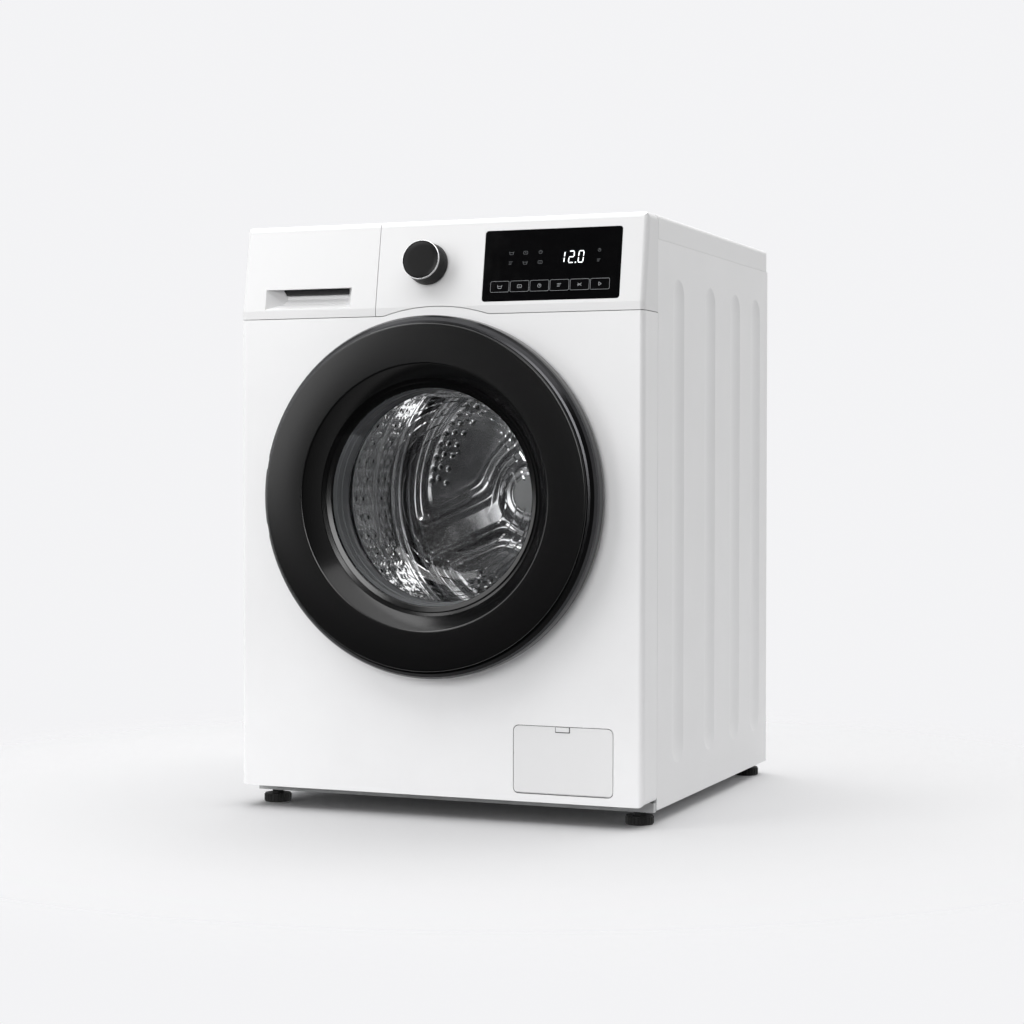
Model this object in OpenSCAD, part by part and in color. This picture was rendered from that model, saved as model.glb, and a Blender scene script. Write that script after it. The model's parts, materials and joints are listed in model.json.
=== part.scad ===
// Front load washing machine, free-standing, as an assembly of separate pieces.
// Frame: +Z up, the front faces -Y, the origin is under the middle of the object, on the floor.
// Most modules are drawn in the front frame, where y = 0 is the outer face of the front panel.

/* [Cabinet] */
// Width over the side panels
body_w = 600; // [595:1:605]
// Height from the floor to the worktop
body_h = 820; // [816:1:830]
// Depth from the front panel to the rear panel
body_d = 610; // [606:1:620]
// Depth of the front panel's and the fascia's side returns
front_depth = 59; // [56:1:62]
// Thickness of the steel sheet
sheet_t = 1.2; // [1:0.1:1.5]
// Radius of the front's vertical edges
edge_r = 8; // [6:1:10]
// Visible gap between neighbouring front pieces
seam = 0.9; // [0.6:0.1:1.2]
// Height of the seam between the front panel and the fascia
fascia_z = 688.8; // [688:0.2:690]
// How far the fascia leans back at the top
fascia_lean = 20; // [16:1:24]

/* [Door] */
// Outer radius of the door's trim ring
door_r = 247; // [246:0.5:247.5]
// Radius where the flat black ring starts to slope in
face_in_r = 181; // [176:1:186]
// Radius of the round window
window_r = 163; // [160:1:166]
// Distance from the front panel to the door's face
door_proud = 45; // [44:0.5:46]
// Radius of the glass bowl
bowl_r = 153.5; // [152:0.5:154]
// Depth of the glass bowl behind the front panel
bowl_depth = 110; // [106:1:112]
// How far the door swings open, in degrees
door_swing = 140; // [90:5:140]

/* [Washing group] */
// Height of the drum's axis
axis_z = 440; // [438:1:442]
// Inner radius of the drum
drum_r = 240; // [236:1:241]
// Inner radius of the outer tub
tub_r = 250; // [248:1:251]
// Radius of the drum's pulley
pulley_r = 130; // [110:5:140]
// Radius of the motor's pulley
motor_pulley_r = 11; // [9:1:14]
// Height of the motor's axis
motor_z = 114; // [112:1:118]

/* [Controls] */
// Sideways place of the programme knob
knob_x = -14; // [-20:1:-8]
// Radius of the knob at its foot
knob_r = 29; // [26:0.5:30]
// Height of the knob
knob_h = 29; // [24:1:30]
// Width of the black display window
display_w = 196.5; // [190:0.5:198]
// Sideways centre of the display window
display_x = 166.5; // [164:0.5:168]
// Number of keys under the display
key_count = 6; // [6:1:6]
// Travel of a key
key_travel = 1; // [0.6:0.1:1.2]

/* [Detergent drawer] */
// Sideways place of the seam between the drawer and the fascia
drawer_x = -89.5; // [-92:0.5:-88]
// How far the drawer slides out
drawer_travel = 200; // [150:10:220]

/* [Feet] */
// Radius of a foot
foot_r = 19.5; // [18:0.5:21]
// Distance of the feet from the cabinet's sides
foot_inset = 25.5; // [24:0.5:28]

/* [Hidden] */
$fn = 96;

white = "#f4f4f5";
panel_white = "#ececee";
black = "#151515";
grey = "#8d9094";
steel = "#c9ccd0";

half_w = body_w / 2;
rear_proud = 18;                     // threads and spouts behind the rear panel
front_y = -(body_d + rear_proud - door_proud) / 2;
side_z = 19.6;                       // lower edge of the side panels
front_z = 30.5;                      // lower edge of the front panel
tray_z = 17.5;                       // underside of the base tray
worktop_t = 33;
worktop_z = body_h - worktop_t;
lean_z = fascia_z + 11.2;            // the fascia leans back from here up
lean_a = atan(fascia_lean / (body_h - lean_z));
arch_r = lean_z - axis_z;            // the fascia's lower edge arches over the door
fascia_t = 3;
drawer_wrap = 41.5;                  // depth of the drawer front's side wall
hinge_x = -232;
hinge_y = -26;
hinge_arm_z = [40, 52];              // the two hinge arms, above and below the middle
latch_x = 215;
eps = 0.02;

// ---- frames and helpers ----

module front_frame() { translate([0, front_y, 0]) children(); }

// Local +Z runs backwards along the drum's axis, y is counted from the front panel
module on_axis(y = 0) { front_frame() translate([0, y, axis_z]) rotate([-90, 0, 0]) children(); }

// Local X across, local Z up along the leaning fascia, local Y into the machine
module on_fascia() { front_frame() translate([0, 0, lean_z]) rotate([-lean_a, 0, 0]) children(); }

module block(low, high) { translate(low) cube(high - low); }

module tube(r_out, r_in, y0, y1) {
    translate([0, 0, y0]) difference() {
        cylinder(r = r_out, h = y1 - y0);
        translate([0, 0, -1]) cylinder(r = r_in, h = y1 - y0 + 2);
    }
}

// A rectangle with round corners, from low to high
module round_rect(low, high, r) {
    translate([low.x + r, low.y]) square([high.x - low.x - 2 * r, high.y - low.y]);
    translate([low.x, low.y + r]) square([high.x - low.x, high.y - low.y - 2 * r]);
    for (x = [low.x + r, high.x - r], y = [low.y + r, high.y - r]) translate([x, y]) circle(r = r);
}

// A plate in the XZ plane with round corners, from y0 to y1
module upright_plate(low, high, r, y0, y1) {
    translate([0, y1, 0]) rotate([90, 0, 0]) linear_extrude(y1 - y0) round_rect(low, high, r);
}

module rod_x(r, x0, x1) { translate([x0, 0, 0]) rotate([0, 90, 0]) cylinder(r = r, h = x1 - x0); }
module rod_y(r, y0, y1) { translate([0, y0, 0]) rotate([-90, 0, 0]) cylinder(r = r, h = y1 - y0); }

// A quarter of a torus that joins local +X (at z = bend) to local +Z (at x = bend)
module elbow(r, bend) { rotate([90, 0, 0]) rotate_extrude(angle = 90) translate([bend, 0]) circle(r = r); }

// ---- the front's outer shape ----

// Plan of the front with round vertical edges, inset by g
module front_plan(g, depth) {
    r = edge_r - g / 2;
    w = half_w - g;
    translate([-w, g + r]) square([2 * w, depth - g - r]);
    translate([-w + r, g]) square([2 * w - 2 * r, depth - g]);
    for (s = [-1, 1]) translate([s * (w - r), g + r]) circle(r = r);
}

// Side view of the fascia: everything behind its rounded top edge, inset by g
module fascia_section(g) {
    r = 9 - g / 2;
    zc = body_h - g - r;
    yc = (zc - lean_z) * tan(lean_a) + (r + g) / cos(lean_a);
    translate([-50, lean_z - 60]) square([300, zc - lean_z + 60]);
    translate([yc, zc - 40]) square([200, 40 + r]);
    translate([yc, zc]) circle(r = r);
}

// The solid that the fascia and the drawer front are cut from, inset by g
module fascia_solid(g) {
    intersection() {
        front_frame() translate([0, 0, fascia_z]) linear_extrude(140) front_plan(g, front_depth);
        on_fascia() translate([0, 0, -40]) linear_extrude(200) front_plan(g, 120);
        front_frame() translate([-400, 0, 0]) rotate([90, 0, 90]) linear_extrude(800) fascia_section(g);
        front_frame() upright_plate([-half_w + g, fascia_z - 40], [half_w - g, body_h - g], 9 - g / 2, -30, 90);
    }
}

module fascia_shell() {
    difference() {
        fascia_solid(0);
        fascia_solid(fascia_t);
        front_frame() block([-half_w + fascia_t, fascia_t, fascia_z - 1], [half_w - fascia_t, 100, fascia_z + 5]);
        front_frame() block([-half_w + fascia_t, front_depth - 1, fascia_z], [half_w - fascia_t, 100, body_h - fascia_t]);
    }
}

// ---- cabinet ----

front_flange = 11;                   // width of the side panels' front flange
rib_y = [150, 300, 429, 541];        // middles of the pressed grooves
rib_z = [73, 739];
rib_half = 26;
rib_depth = 4;
rib_arc = (rib_half * rib_half + rib_depth * rib_depth) / (2 * rib_depth);

// A long groove with round ends; its floor is a circular arc, grow makes it the sheet's other face
module groove(y, grow) {
    r = rib_arc + grow;
    translate([half_w - rib_depth + rib_arc, y, 0]) {
        translate([0, 0, rib_z[0] + rib_half]) cylinder(r = r, h = rib_z[1] - rib_z[0] - 2 * rib_half);
        for (z = [rib_z[0] + rib_half, rib_z[1] - rib_half]) translate([0, 0, z]) sphere(r = r);
    }
}

module side_sheet() {
    difference() {
        union() {
            block([half_w - sheet_t, front_depth, side_z], [half_w, body_d, worktop_z - 0.2]);
            block([half_w - front_flange, front_depth, side_z], [half_w, front_depth + sheet_t, worktop_z - 0.2]);
            block([half_w - 16, body_d - sheet_t, side_z], [half_w, body_d, worktop_z - 0.2]);
            block([half_w - 14, front_depth, side_z], [half_w, body_d, side_z + sheet_t]);
            intersection() {
                for (y = rib_y) groove(y, sheet_t);
                block([half_w - 20, front_depth, side_z], [half_w - sheet_t + eps, body_d, worktop_z - 5]);
            }
            for (y = spring_y) {
                block([spring_x - 8, y - 12, spring_z[1] + 0.2], [half_w, y + 12, spring_z[1] + 3.2]);
                block([half_w - 4 - rib_depth, y - 12, spring_z[1] - 30], [half_w - sheet_t / 2, y + 12, spring_z[1] + 3]);
            }
        }
        for (y = rib_y) groove(y, 0);
    }
}

module side_panel_left() { color(panel_white) front_frame() mirror([1, 0, 0]) side_sheet(); }
module side_panel_right() { color(panel_white) front_frame() side_sheet(); }

service_r = [185, 250, 640];         // rear opening: half width, lower and upper edge

module rear_panel() {
    y1 = body_d - sheet_t - 0.2;
    color(panel_white) front_frame() difference() {
        block([-half_w + 3, y1 - sheet_t, side_z + 1.6], [half_w - 3, y1, worktop_z - 0.4]);
        upright_plate([-service_r[0], service_r[1]], [service_r[0], service_r[2]], 30, y1 - 10, y1 + 10);
        translate([valve_x, 0, valve_z]) rod_y(15.3, y1 - 10, y1 + 10);
        translate([drain_x, 0, drain_z]) rod_y(11.3, y1 - 10, y1 + 10);
        translate([gland_x, 0, gland_z]) rod_y(8.05, y1 - 10, y1 + 10);
        screw_holes();
    }
}

module screw_holes() {
    for (s = [-1, 1], z = screw_z) translate([s * screw_x, 0, z]) rod_y(2.1, body_d - 15, body_d + 5);
}

module rear_cover() {
    y0 = body_d - sheet_t - 0.2;
    color("#d8d9db") front_frame() difference() {
        union() {
            upright_plate([-service_r[0] - 14, service_r[1] - 14], [service_r[0] + 14, service_r[2] + 14], 40,
                          y0, y0 + sheet_t);
            upright_plate([-150, 290], [150, 600], 60, y0 + sheet_t - eps, y0 + sheet_t + 5);
        }
        upright_plate([-148, 292], [148, 598], 58, y0 - 1, y0 + 5);
        screw_holes();
    }
}

worktop_wall = [26, 22];             // width of the board's solid edge at the sides and at the front

// Round-edged laminated board with a pocket underneath
module worktop() {
    y0 = front_depth + 0.6;
    y1 = body_d + 4;
    r = 6;
    color(white) front_frame() difference() {
        intersection() {
            translate([0, 0, worktop_z]) linear_extrude(worktop_t) union() {
                round_rect([-half_w, y0 + 30], [half_w, y1], 12);
                translate([-half_w, y0]) square([body_w, 60]);
            }
            upright_plate([-half_w, worktop_z - 40], [half_w, body_h], r, y0 - 5, y1 + 5);
            translate([-400, 0, 0]) rotate([90, 0, 90]) linear_extrude(800)
                round_rect([y0 - 40, worktop_z - 40], [y1, body_h], r);
        }
        block([-half_w + worktop_wall[0], y0 + worktop_wall[1], worktop_z - 1],
              [half_w - worktop_wall[0], y1 - 26, body_h - 18]);
    }
}

module front_panel() {
    color(white) front_frame() difference() {
        union() {
            intersection() {
                difference() {
                    translate([0, 0, front_z]) linear_extrude(fascia_z - seam - front_z) front_plan(0, front_depth - 0.6);
                    translate([0, 0, front_z - 1]) linear_extrude(body_h) front_plan(sheet_t, front_depth + 5);
                }
                upright_plate([-half_w, front_z], [half_w, body_h], edge_r, -5, front_depth + 5);
            }
            arch_tab();
            block([-half_w + 12, 0.6, front_z + 0.4], [half_w - 12, 14, front_z + 0.4 + sheet_t]);
            for (x = [flap_x[0] - 6, flap_x[1] + 2]) difference() {
                block([x, sheet_t - 0.2, flap_z[0] - 1], [x + 4, 9, flap_pin_z + 5]);
                translate([0, flap_pin_y, flap_pin_z]) rod_x(1.6, x - 1, x + 5);
            }
        }
        translate([0, 0, axis_z]) rod_y(165, -5, sheet_t + 1);
        upright_plate([flap_x[0] - seam, flap_z[0] - seam], [flap_x[1] + seam, flap_z[1] + seam], 8, -5, sheet_t);
        block([latch_x - 13, -5, axis_z - 8], [latch_x + 17, sheet_t + 1, axis_z + 8]);
    }
}

// The part of the front panel that rises over the door
module arch_tab() {
    intersection() {
        translate([0, 0, axis_z]) rod_y(arch_r, 0, sheet_t);
        block([-100, -1, fascia_z - seam - 2], [100, 5, lean_z + 5]);
    }
}

module control_panel() {
    color(white) difference() {
        union() {
            difference() {
                fascia_shell();
                front_frame() block([-half_w - 5, -5, fascia_z - 5], [drawer_x, drawer_wrap, body_h + 5]);
            }
            front_frame() block([drawer_x, fascia_t + 0.2, fascia_z + 11.4], [drawer_x + 2.5, front_depth, lean_z + 4]);
            intersection() {
                fascia_solid(fascia_t - 0.1);
                front_frame() union() {
                    block([drawer_x, 0, lean_z], [drawer_x + 2.5, front_depth, body_h]);
                    block([-half_w, drawer_wrap + 0.5, crossbar_z[1] + 0.2], [drawer_x + 2.5, drawer_wrap + 3, body_h]);
                }
            }
            intersection() {
                fascia_solid(0);
                on_fascia() upright_plate([display_x - display_w / 2 - 4, display_s[0] - 3],
                                          [display_x + display_w / 2 + 4, display_s[1] + 4], 6, 0.5, 6);
            }
        }
        on_axis() translate([0, 0, -20]) cylinder(r = arch_r + seam, h = 100);
        front_frame() block([tray_x[0] - 3, 30, tray_floor - 3], [tray_x[1] + 3, front_depth + 1, tray_top + 6]);
        front_frame() block([-half_w + 3.2, crossbar_y[0] - 0.3, crossbar_z[0] - 1],
                            [half_w - 3.2, front_depth + 1, crossbar_z[1] + 0.2]);
        on_fascia() upright_plate([display_x - display_w / 2 - 0.3, display_s[0] - 0.3],
                                  [display_x + display_w / 2 + 0.3, display_s[1] + 0.3], 4.3, -5, 2.8);
        on_fascia() upright_plate([display_x - display_w / 2 + 4, display_s[0] + 4],
                                  [display_x + display_w / 2 - 4, display_s[1] - 4], 3, -5, 12);
        on_fascia() translate([knob_x, 0, knob_s]) rod_y(4.5, -5, 12);
    }
}

crossbar_y = [drawer_wrap + 1, 55.4];
crossbar_z = [692, 704];

// Channel that ties the side panels together under the fascia, with a lug on each end
module top_crossbar() {
    x = half_w - 3.4;
    color(steel) front_frame() difference() {
        union() {
            block([-x, crossbar_y[0], crossbar_z[0]], [x, crossbar_y[1], crossbar_z[1]]);
            for (x0 = [-x, x - 30])
                block([x0, crossbar_y[0], crossbar_z[0]], [x0 + 30, front_depth - 0.2, crossbar_z[1]]);
        }
        block([-half_w, crossbar_y[0] + 1.5, crossbar_z[0] - 1], [half_w, crossbar_y[1] - 1.5, crossbar_z[1] - 1.5]);
    }
}

foot_x = half_w - foot_inset;
foot_y = [62, 584];

module base_tray() {
    x = half_w - sheet_t - 0.3;
    y0 = 50;
    y1 = body_d - 4;
    color("#d9dadb") front_frame() difference() {
        union() {
            difference() {
                block([-x, y0, tray_z], [x, y1, tray_z + 42]);
                block([-x + 3.5, y0 + 3.5, tray_z + 3.5], [x - 3.5, y1 - 3.5, tray_z + 60]);
            }
            for (sx = [-1, 1], y = foot_y) translate([sx * foot_x, y, tray_z]) cylinder(r = 11, h = 34);
            for (sx = [-1, 1], y = damper_y) translate([sx * damper_x, y, tray_z]) cylinder(r = 22, h = 16.5);
            for (x2 = [140, 225]) block([x2, 66, tray_z], [x2 + 8, 130, pump_z - 34]);
        }
        for (sx = [-1, 1]) {
            block([sx > 0 ? x - 13 : -x - 1, front_depth - 0.4, tray_z - 1], [sx > 0 ? x + 1 : -x + 13, y1 + 1, side_z + 1.4]);
            block([sx > 0 ? half_w - front_flange - 0.3 : -half_w, front_depth - 0.4, tray_z - 1],
                  [sx > 0 ? half_w : -half_w + front_flange + 0.3, front_depth + sheet_t + 0.3, 100]);
            for (y = foot_y) translate([sx * foot_x, y, tray_z - 1]) cylinder(r = 5.06, h = 60);
        }
        block([-x - 1, y0 - 1, front_z - 0.2], [x + 1, front_depth - 0.3, 100]);
    }
}

// ---- display and controls ----

display_s = [4.8, 102.8];            // lower and upper edge, along the leaning face
knob_s = 59.3;
key_s = [17.2, 32.4];
key_pitch = 28.7;
key_w = 27.2;
key_x0 = display_x - key_pitch * (key_count - 1) / 2 - 1.4;
board_y = 14;

module key_outline(grow) {
    round_rect([-key_w / 2 - grow, key_s[0] - grow], [key_w / 2 + grow, key_s[1] + grow], 2);
}

module display_window() {
    color(black) on_fascia() difference() {
        upright_plate([display_x - display_w / 2, display_s[0]], [display_x + display_w / 2, display_s[1]], 4, 0, 2.5);
        for (i = [0 : key_count - 1]) translate([key_x0 + i * key_pitch, 5, 0]) rotate([90, 0, 0])
            linear_extrude(10) key_outline(0.35);
    }
}

module push_key(i) {
    color("#1d1d1f") on_fascia() translate([key_x0 + i * key_pitch, 0, 0]) {
        translate([0, 2.2, 0]) rotate([90, 0, 0]) linear_extrude(2.5) key_outline(0);
        middle = (key_s[0] + key_s[1]) / 2;
        block([-9, 2.2 - eps, middle - 6], [9, 4.2, middle + 6]);
        block([-6, 3.1, key_s[0] - 2.6], [6, 4.2, key_s[1] + 2.6]);
        translate([0, 0, middle]) rod_y(3, 4, 9.2);
    }
}

module key_1() { push_key(0); }
module key_2() { push_key(1); }
module key_3() { push_key(2); }
module key_4() { push_key(3); }
module key_5() { push_key(4); }
module key_6() { push_key(5); }

// Display board with its key switches, digits and rotary encoder, and the main board in its case
module control_boards() {
    middle = (key_s[0] + key_s[1]) / 2;
    color("#1f6a43") on_fascia() difference() {
        block([knob_x - 28, board_y, 8], [display_x + 92, board_y + 1.6, 98]);
        translate([knob_x, 0, knob_s]) rod_y(4, board_y - 2, board_y + 4);
    }
    color("#262626") on_fascia() {
        for (i = [0 : key_count - 1])
            block([key_x0 + i * key_pitch - 3, board_y - 3.6, middle - 3], [key_x0 + i * key_pitch + 3, board_y, middle + 3]);
        block([display_x - 6, board_y - 8, 48], [display_x + 66, board_y, 80]);
        difference() {
            block([knob_x - 7, board_y - 7, knob_s - 7], [knob_x + 7, board_y, knob_s + 7]);
            translate([knob_x, 0, knob_s]) rod_y(3.05, board_y - 8, board_y + 1);
        }
    }
    color("#e6e6e6") front_frame() difference() {
        block([112, 68, 722], [246, 205, 776]);
        block([114.5, 70.5, 724.5], [243.5, 202.5, 777]);
    }
    color("#1f6a43") front_frame() block([118, 74, 728], [240, 199, 729.6]);
    color("#30302f") front_frame() for (x = [128, 160, 196]) block([x, 90, 729.6], [x + 22, 130, 750]);
    color(steel) front_frame() block([126, 150, 729.6], [190, 186, 760]);
}

// Local +Z points out of the fascia along the knob's axis
module on_knob() { on_fascia() translate([knob_x, 0, knob_s]) rotate([90, 0, 0]) children(); }

knob_tip_r = knob_r - 1.5;

module knob_body() {
    color(black) on_knob() {
        rotate_extrude() polygon([
            [knob_r - 4, 0.8], [knob_r - 0.4, 0.8], [knob_r, 1.4], [knob_tip_r, knob_h - 2.5],
            [knob_tip_r - 2.3, knob_h - 2.5], [knob_tip_r - 2.3, knob_h - 0.5], [0, knob_h - 0.5], [0, knob_h - 5],
            [knob_tip_r - 3.5, knob_h - 5]]);
        tube(5, 3 - eps, 0.6, knob_h - 5 + eps);
        translate([0, 0, -board_y + 1]) cylinder(r = 3, h = board_y + knob_h - 5);
    }
}

module knob_ring() {
    color(steel) on_knob() rotate_extrude() polygon([
        [knob_tip_r - 2.2, knob_h - 2.4], [knob_tip_r - 0.1, knob_h - 2.4], [knob_tip_r - 0.6, knob_h - 0.9],
        [knob_tip_r - 1.3, knob_h], [knob_tip_r - 2.2, knob_h - 0.2]]);
}

// ---- detergent drawer ----

tray_x = [-284, -106];
tray_y = [38, 285];
tray_floor = 710;
tray_top = 784;
grip_x = [-262, -128.7];             // finger recess
grip_s = [2.2, 30.4];

// Room for the fingers behind the drawer's face; g grows it into the recess's wall
module finger_room(g) {
    on_fascia() intersection() {
        translate([-400, 0, 0]) rotate([90, 0, 90]) linear_extrude(400) polygon([
            [-1 - g, grip_s[0] - g], [0, grip_s[0] - g], [16 + g, grip_s[0] + 10 - g], [21 + g, grip_s[0] + 18],
            [21 + g, grip_s[1] + 9 + g], [3 - g / 4, grip_s[1] + 9 + g], [3 - g / 4, grip_s[1] + g / 8],
            [-1 - g, grip_s[1] + g / 8]]);
        linear_extrude(120) polygon([
            [grip_x[0] - g, -1 - g], [grip_x[1] + g, -1 - g], [grip_x[1] + g, 0], [grip_x[1] - 14 + g, 21 + g],
            [grip_x[0] + 24 - g, 21 + g], [grip_x[0] - g, 0]]);
    }
}

module drawer_front() {
    color(white) difference() {
        intersection() {
            union() {
                fascia_shell();
                intersection() { fascia_solid(0.5); finger_room(2.4); }
                intersection() {
                    fascia_solid(fascia_t - 0.1);
                    front_frame() union() {
                        block([-half_w, 0, fascia_z], [drawer_x, drawer_wrap - 1, fascia_z + 2.5]);
                        block([drawer_x - seam - 3, 0, fascia_z], [drawer_x, drawer_wrap - 1, body_h]);
                    }
                }
            }
            front_frame() block([-half_w - 5, -10, fascia_z - 5], [drawer_x - seam, drawer_wrap - 1, body_h + 5]);
        }
        finger_room(0);
    }
}

// Three-compartment tray with the plate that carries the drawer's front
module detergent_tray() {
    w = 2.5;
    inner = tray_x[1] - tray_x[0] - 2 * w;
    cell = [(inner - 2 * w) * 0.42, (inner - 2 * w) * 0.34, (inner - 2 * w) * 0.24];
    start = [tray_x[0] + w, tray_x[0] + 2 * w + cell[0], tray_x[0] + 3 * w + cell[0] + cell[1]];
    color("#dfe3e6") front_frame() union() {
        difference() {
            block([tray_x[0], tray_y[0], tray_floor], [tray_x[1], tray_y[1], tray_top]);
            for (i = [0 : 2])
                block([start[i], tray_y[0] + 6, tray_floor + w], [start[i] + cell[i], tray_y[1] - w, tray_top + 1]);
            block([start[0], tray_y[1] - 10, tray_floor + 30], [start[1] + cell[1], tray_y[1] + 1, tray_top + 1]);
        }
        block([-half_w + 4.5, tray_y[0] - 0.6, fascia_z + 4.2], [drawer_x - seam - 3.4, tray_y[0] + 2, body_h - 12]);
    }
}

module dispenser_housing() {
    t = 2.6;
    x0 = tray_x[0] - 4.4;
    x1 = tray_x[1] + 8;
    y1 = 302;
    roof = [[worktop_wall[0] - half_w + 1.6, front_depth + worktop_wall[1] + 2, tray_top - 4], [x1, y1, tray_top + 15]];
    color("#c9cdd1") front_frame() difference() {
        union() {
            block([x0, 45, crossbar_z[1] + 0.2], [x1, y1, worktop_z - 0.4]);
            block(roof[0], roof[1]);
            translate([dose_hose[0], dose_hose[1], crossbar_z[1] - 14]) cylinder(r = 15, h = 15);
            translate([valve_x, 0, valve_z]) rod_y(9, y1 - 1, y1 + 16);
        }
        block([x0 + t, 44, tray_floor - 3], [x1 - t, y1 - t, worktop_z]);
        block(roof[0] + [t, t, -20], roof[1] - [t, t, t]);
        translate([dose_hose[0], dose_hose[1], crossbar_z[1] - 20]) cylinder(r = 12.5, h = 40);
        translate([valve_x, 0, valve_z]) rod_y(6, y1 - 5, y1 + 20);
    }
}

// ---- water path ----

valve_x = -230;
valve_z = 762;
drain_x = 227;
drain_z = 700;
gland_x = 262;
gland_z = 110;
dose_hose = [-185, 225];
dose_z = 632;                        // top of the tub's filling nozzle
pump_x = 187;
pump_z = 88;
sump_x = 52;
sump_y = 78;

// Solenoid valve; its thread stands out of the rear panel
module inlet_valve() {
    color("#e9e9e9") front_frame() translate([valve_x, 0, valve_z]) {
        difference() {
            union() {
                rod_y(15, body_d - 30, body_d);
                rod_y(13.2, body_d - 5, body_d + rear_proud - 3);
                rod_y(19, body_d - 8, body_d - 3);
                rod_y(7, body_d - 62, body_d - 29);
            }
            rod_y(9.5, body_d - 12, body_d + rear_proud + 1);
        }
        block([-14, body_d - 48, 10], [14, body_d - 22, 22]);
    }
}

module cord_gland() {
    color(black) front_frame() translate([gland_x, 0, gland_z]) difference() {
        union() {
            rod_y(8, body_d - 12, body_d + 4);
            rod_y(12, body_d - sheet_t + 1.2, body_d + 4);
            rod_y(12, body_d - 12, body_d - 6);
        }
        rod_y(3.6, body_d - 20, body_d + 10);
    }
}

module drain_pump() {
    color("#e4e6e8") front_frame() translate([pump_x, 0, pump_z]) {
        difference() {
            union() {
                rod_y(34, 34, 104);
                translate([-62, sump_y, 8]) rod_x(11, 0, 40);
                translate([drain_x - pump_x, 0, 22]) rod_y(8, 70, 112);
                block([20, 72, 14], [drain_x - pump_x, 98, 28]);
                rod_y(38, 52, 57);
            }
            rod_y(29, 30, 99);
            translate([-64, sump_y, 8]) rod_x(8.5, 0, 50);
        }
    }
    color("#33373b") front_frame() translate([pump_x, 0, pump_z]) {
        rod_y(31, 104, 145);
        block([-12, 112, -44], [12, 142, -20]);
    }
}

module filter_cap() {
    color("#2f5d8c") front_frame() translate([pump_x, 0, pump_z]) {
        rod_y(30.5, 29.5, 33.5);
        block([-4, 16, -26], [4, 30, 26]);
        difference() {
            rod_y(28.6, 33, 90);
            rod_y(25.5, 40, 86);
            for (a = [0 : 45 : 359]) rotate([0, a, 0]) translate([0, 0, 20]) block([-5, 48, 0], [5, 80, 12]);
        }
    }
}

// Inside hoses that don't move: pump to the rear outlet, and valve to the dispenser
module cabinet_hoses() {
    bend = 24;
    low = pump_z + 22;
    y1 = 540;
    color("#5c6064") front_frame() {
        translate([drain_x, 0, low]) rod_y(10, 112.1, y1 + eps);
        translate([drain_x, y1, low + bend]) rotate([0, 0, 90]) mirror([0, 0, 1]) elbow(10, bend);
        translate([drain_x, y1 + bend, low + bend - eps]) cylinder(r = 10, h = drain_z - low - 2 * bend + 2 * eps);
        translate([drain_x, y1 + 2 * bend, drain_z - bend]) rotate([0, 0, -90]) elbow(10, bend);
        translate([drain_x, 0, drain_z]) difference() {
            union() {
                rod_y(11, y1 + 2 * bend - eps, body_d + rear_proud);
                rod_y(12.5, body_d + rear_proud - 6, body_d + rear_proud - 3);
            }
            rod_y(8, body_d - 2, body_d + rear_proud + 1);
        }
        translate([valve_x, 0, valve_z]) rod_y(8.5, 318.1, body_d - 62.1);
    }
}

// Soft hoses that follow the tub: dispenser to tub, and sump to pump
module tub_hoses() {
    bend = 24;
    z1 = pump_z + 8;
    color("#202224") front_frame() {
        translate([dose_hose[0], dose_hose[1], dose_z + 0.1]) difference() {
            cylinder(r = 15, h = crossbar_z[1] - 14.2 - dose_z);
            translate([0, 0, -1]) cylinder(r = 12, h = 100);
        }
        translate([sump_x, sump_y, z1 + bend - eps]) cylinder(r = 13, h = 147.9 - z1 - bend);
        translate([sump_x + bend, sump_y, z1 + bend]) mirror([1, 0, 0]) mirror([0, 0, 1]) elbow(13, bend);
        translate([0, sump_y, z1]) rod_x(13, sump_x + bend - eps, pump_x - 62.1);
    }
}

// ---- suspended washing group ----

spring_x = 268;
spring_y = [150, 400];
spring_z = [560, 690];
damper_x = 170;
damper_y = [165, 400];
damper_top = 232;
tub_t = 4;
split_y = 250;                       // joint between the tub's halves
well_x = 84;
well_y = [64, 228];
well_z = 160;
rear_wall_y = 466;

module suspension_springs() {
    color(steel) front_frame() for (s = [-1, 1], y = spring_y) translate([s * spring_x, y, spring_z[0] + 0.1])
        tube(12, 9, 0, spring_z[1] - spring_z[0]);
}

module damper_cylinders() {
    color("#4a4d50") front_frame() for (s = [-1, 1], y = damper_y) translate([s * damper_x, y, tray_z + 16.5])
        difference() {
            cylinder(r = 17, h = 116);
            translate([0, 0, 6]) cylinder(r = 14, h = 104);
            cylinder(r = 6.5, h = 130);
        }
}

module damper_rods() {
    color(steel) front_frame() for (s = [-1, 1], y = damper_y) translate([s * damper_x, y, 96]) {
        cylinder(r = 13.4, h = 14);
        cylinder(r = 6, h = damper_top - 96.1);
    }
}

// Lugs that the springs pull on and the dampers push on, at depth i
module tub_lugs(i) {
    for (s = [-1, 1]) {
        translate([s * (spring_x - 28), spring_y[i], spring_z[0] - 7]) cube([72, 24, 14 - 0.1], center = true);
        translate([s * damper_x, damper_y[i], damper_top + 16]) cube([36, 24, 32], center = true);
    }
}

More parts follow.
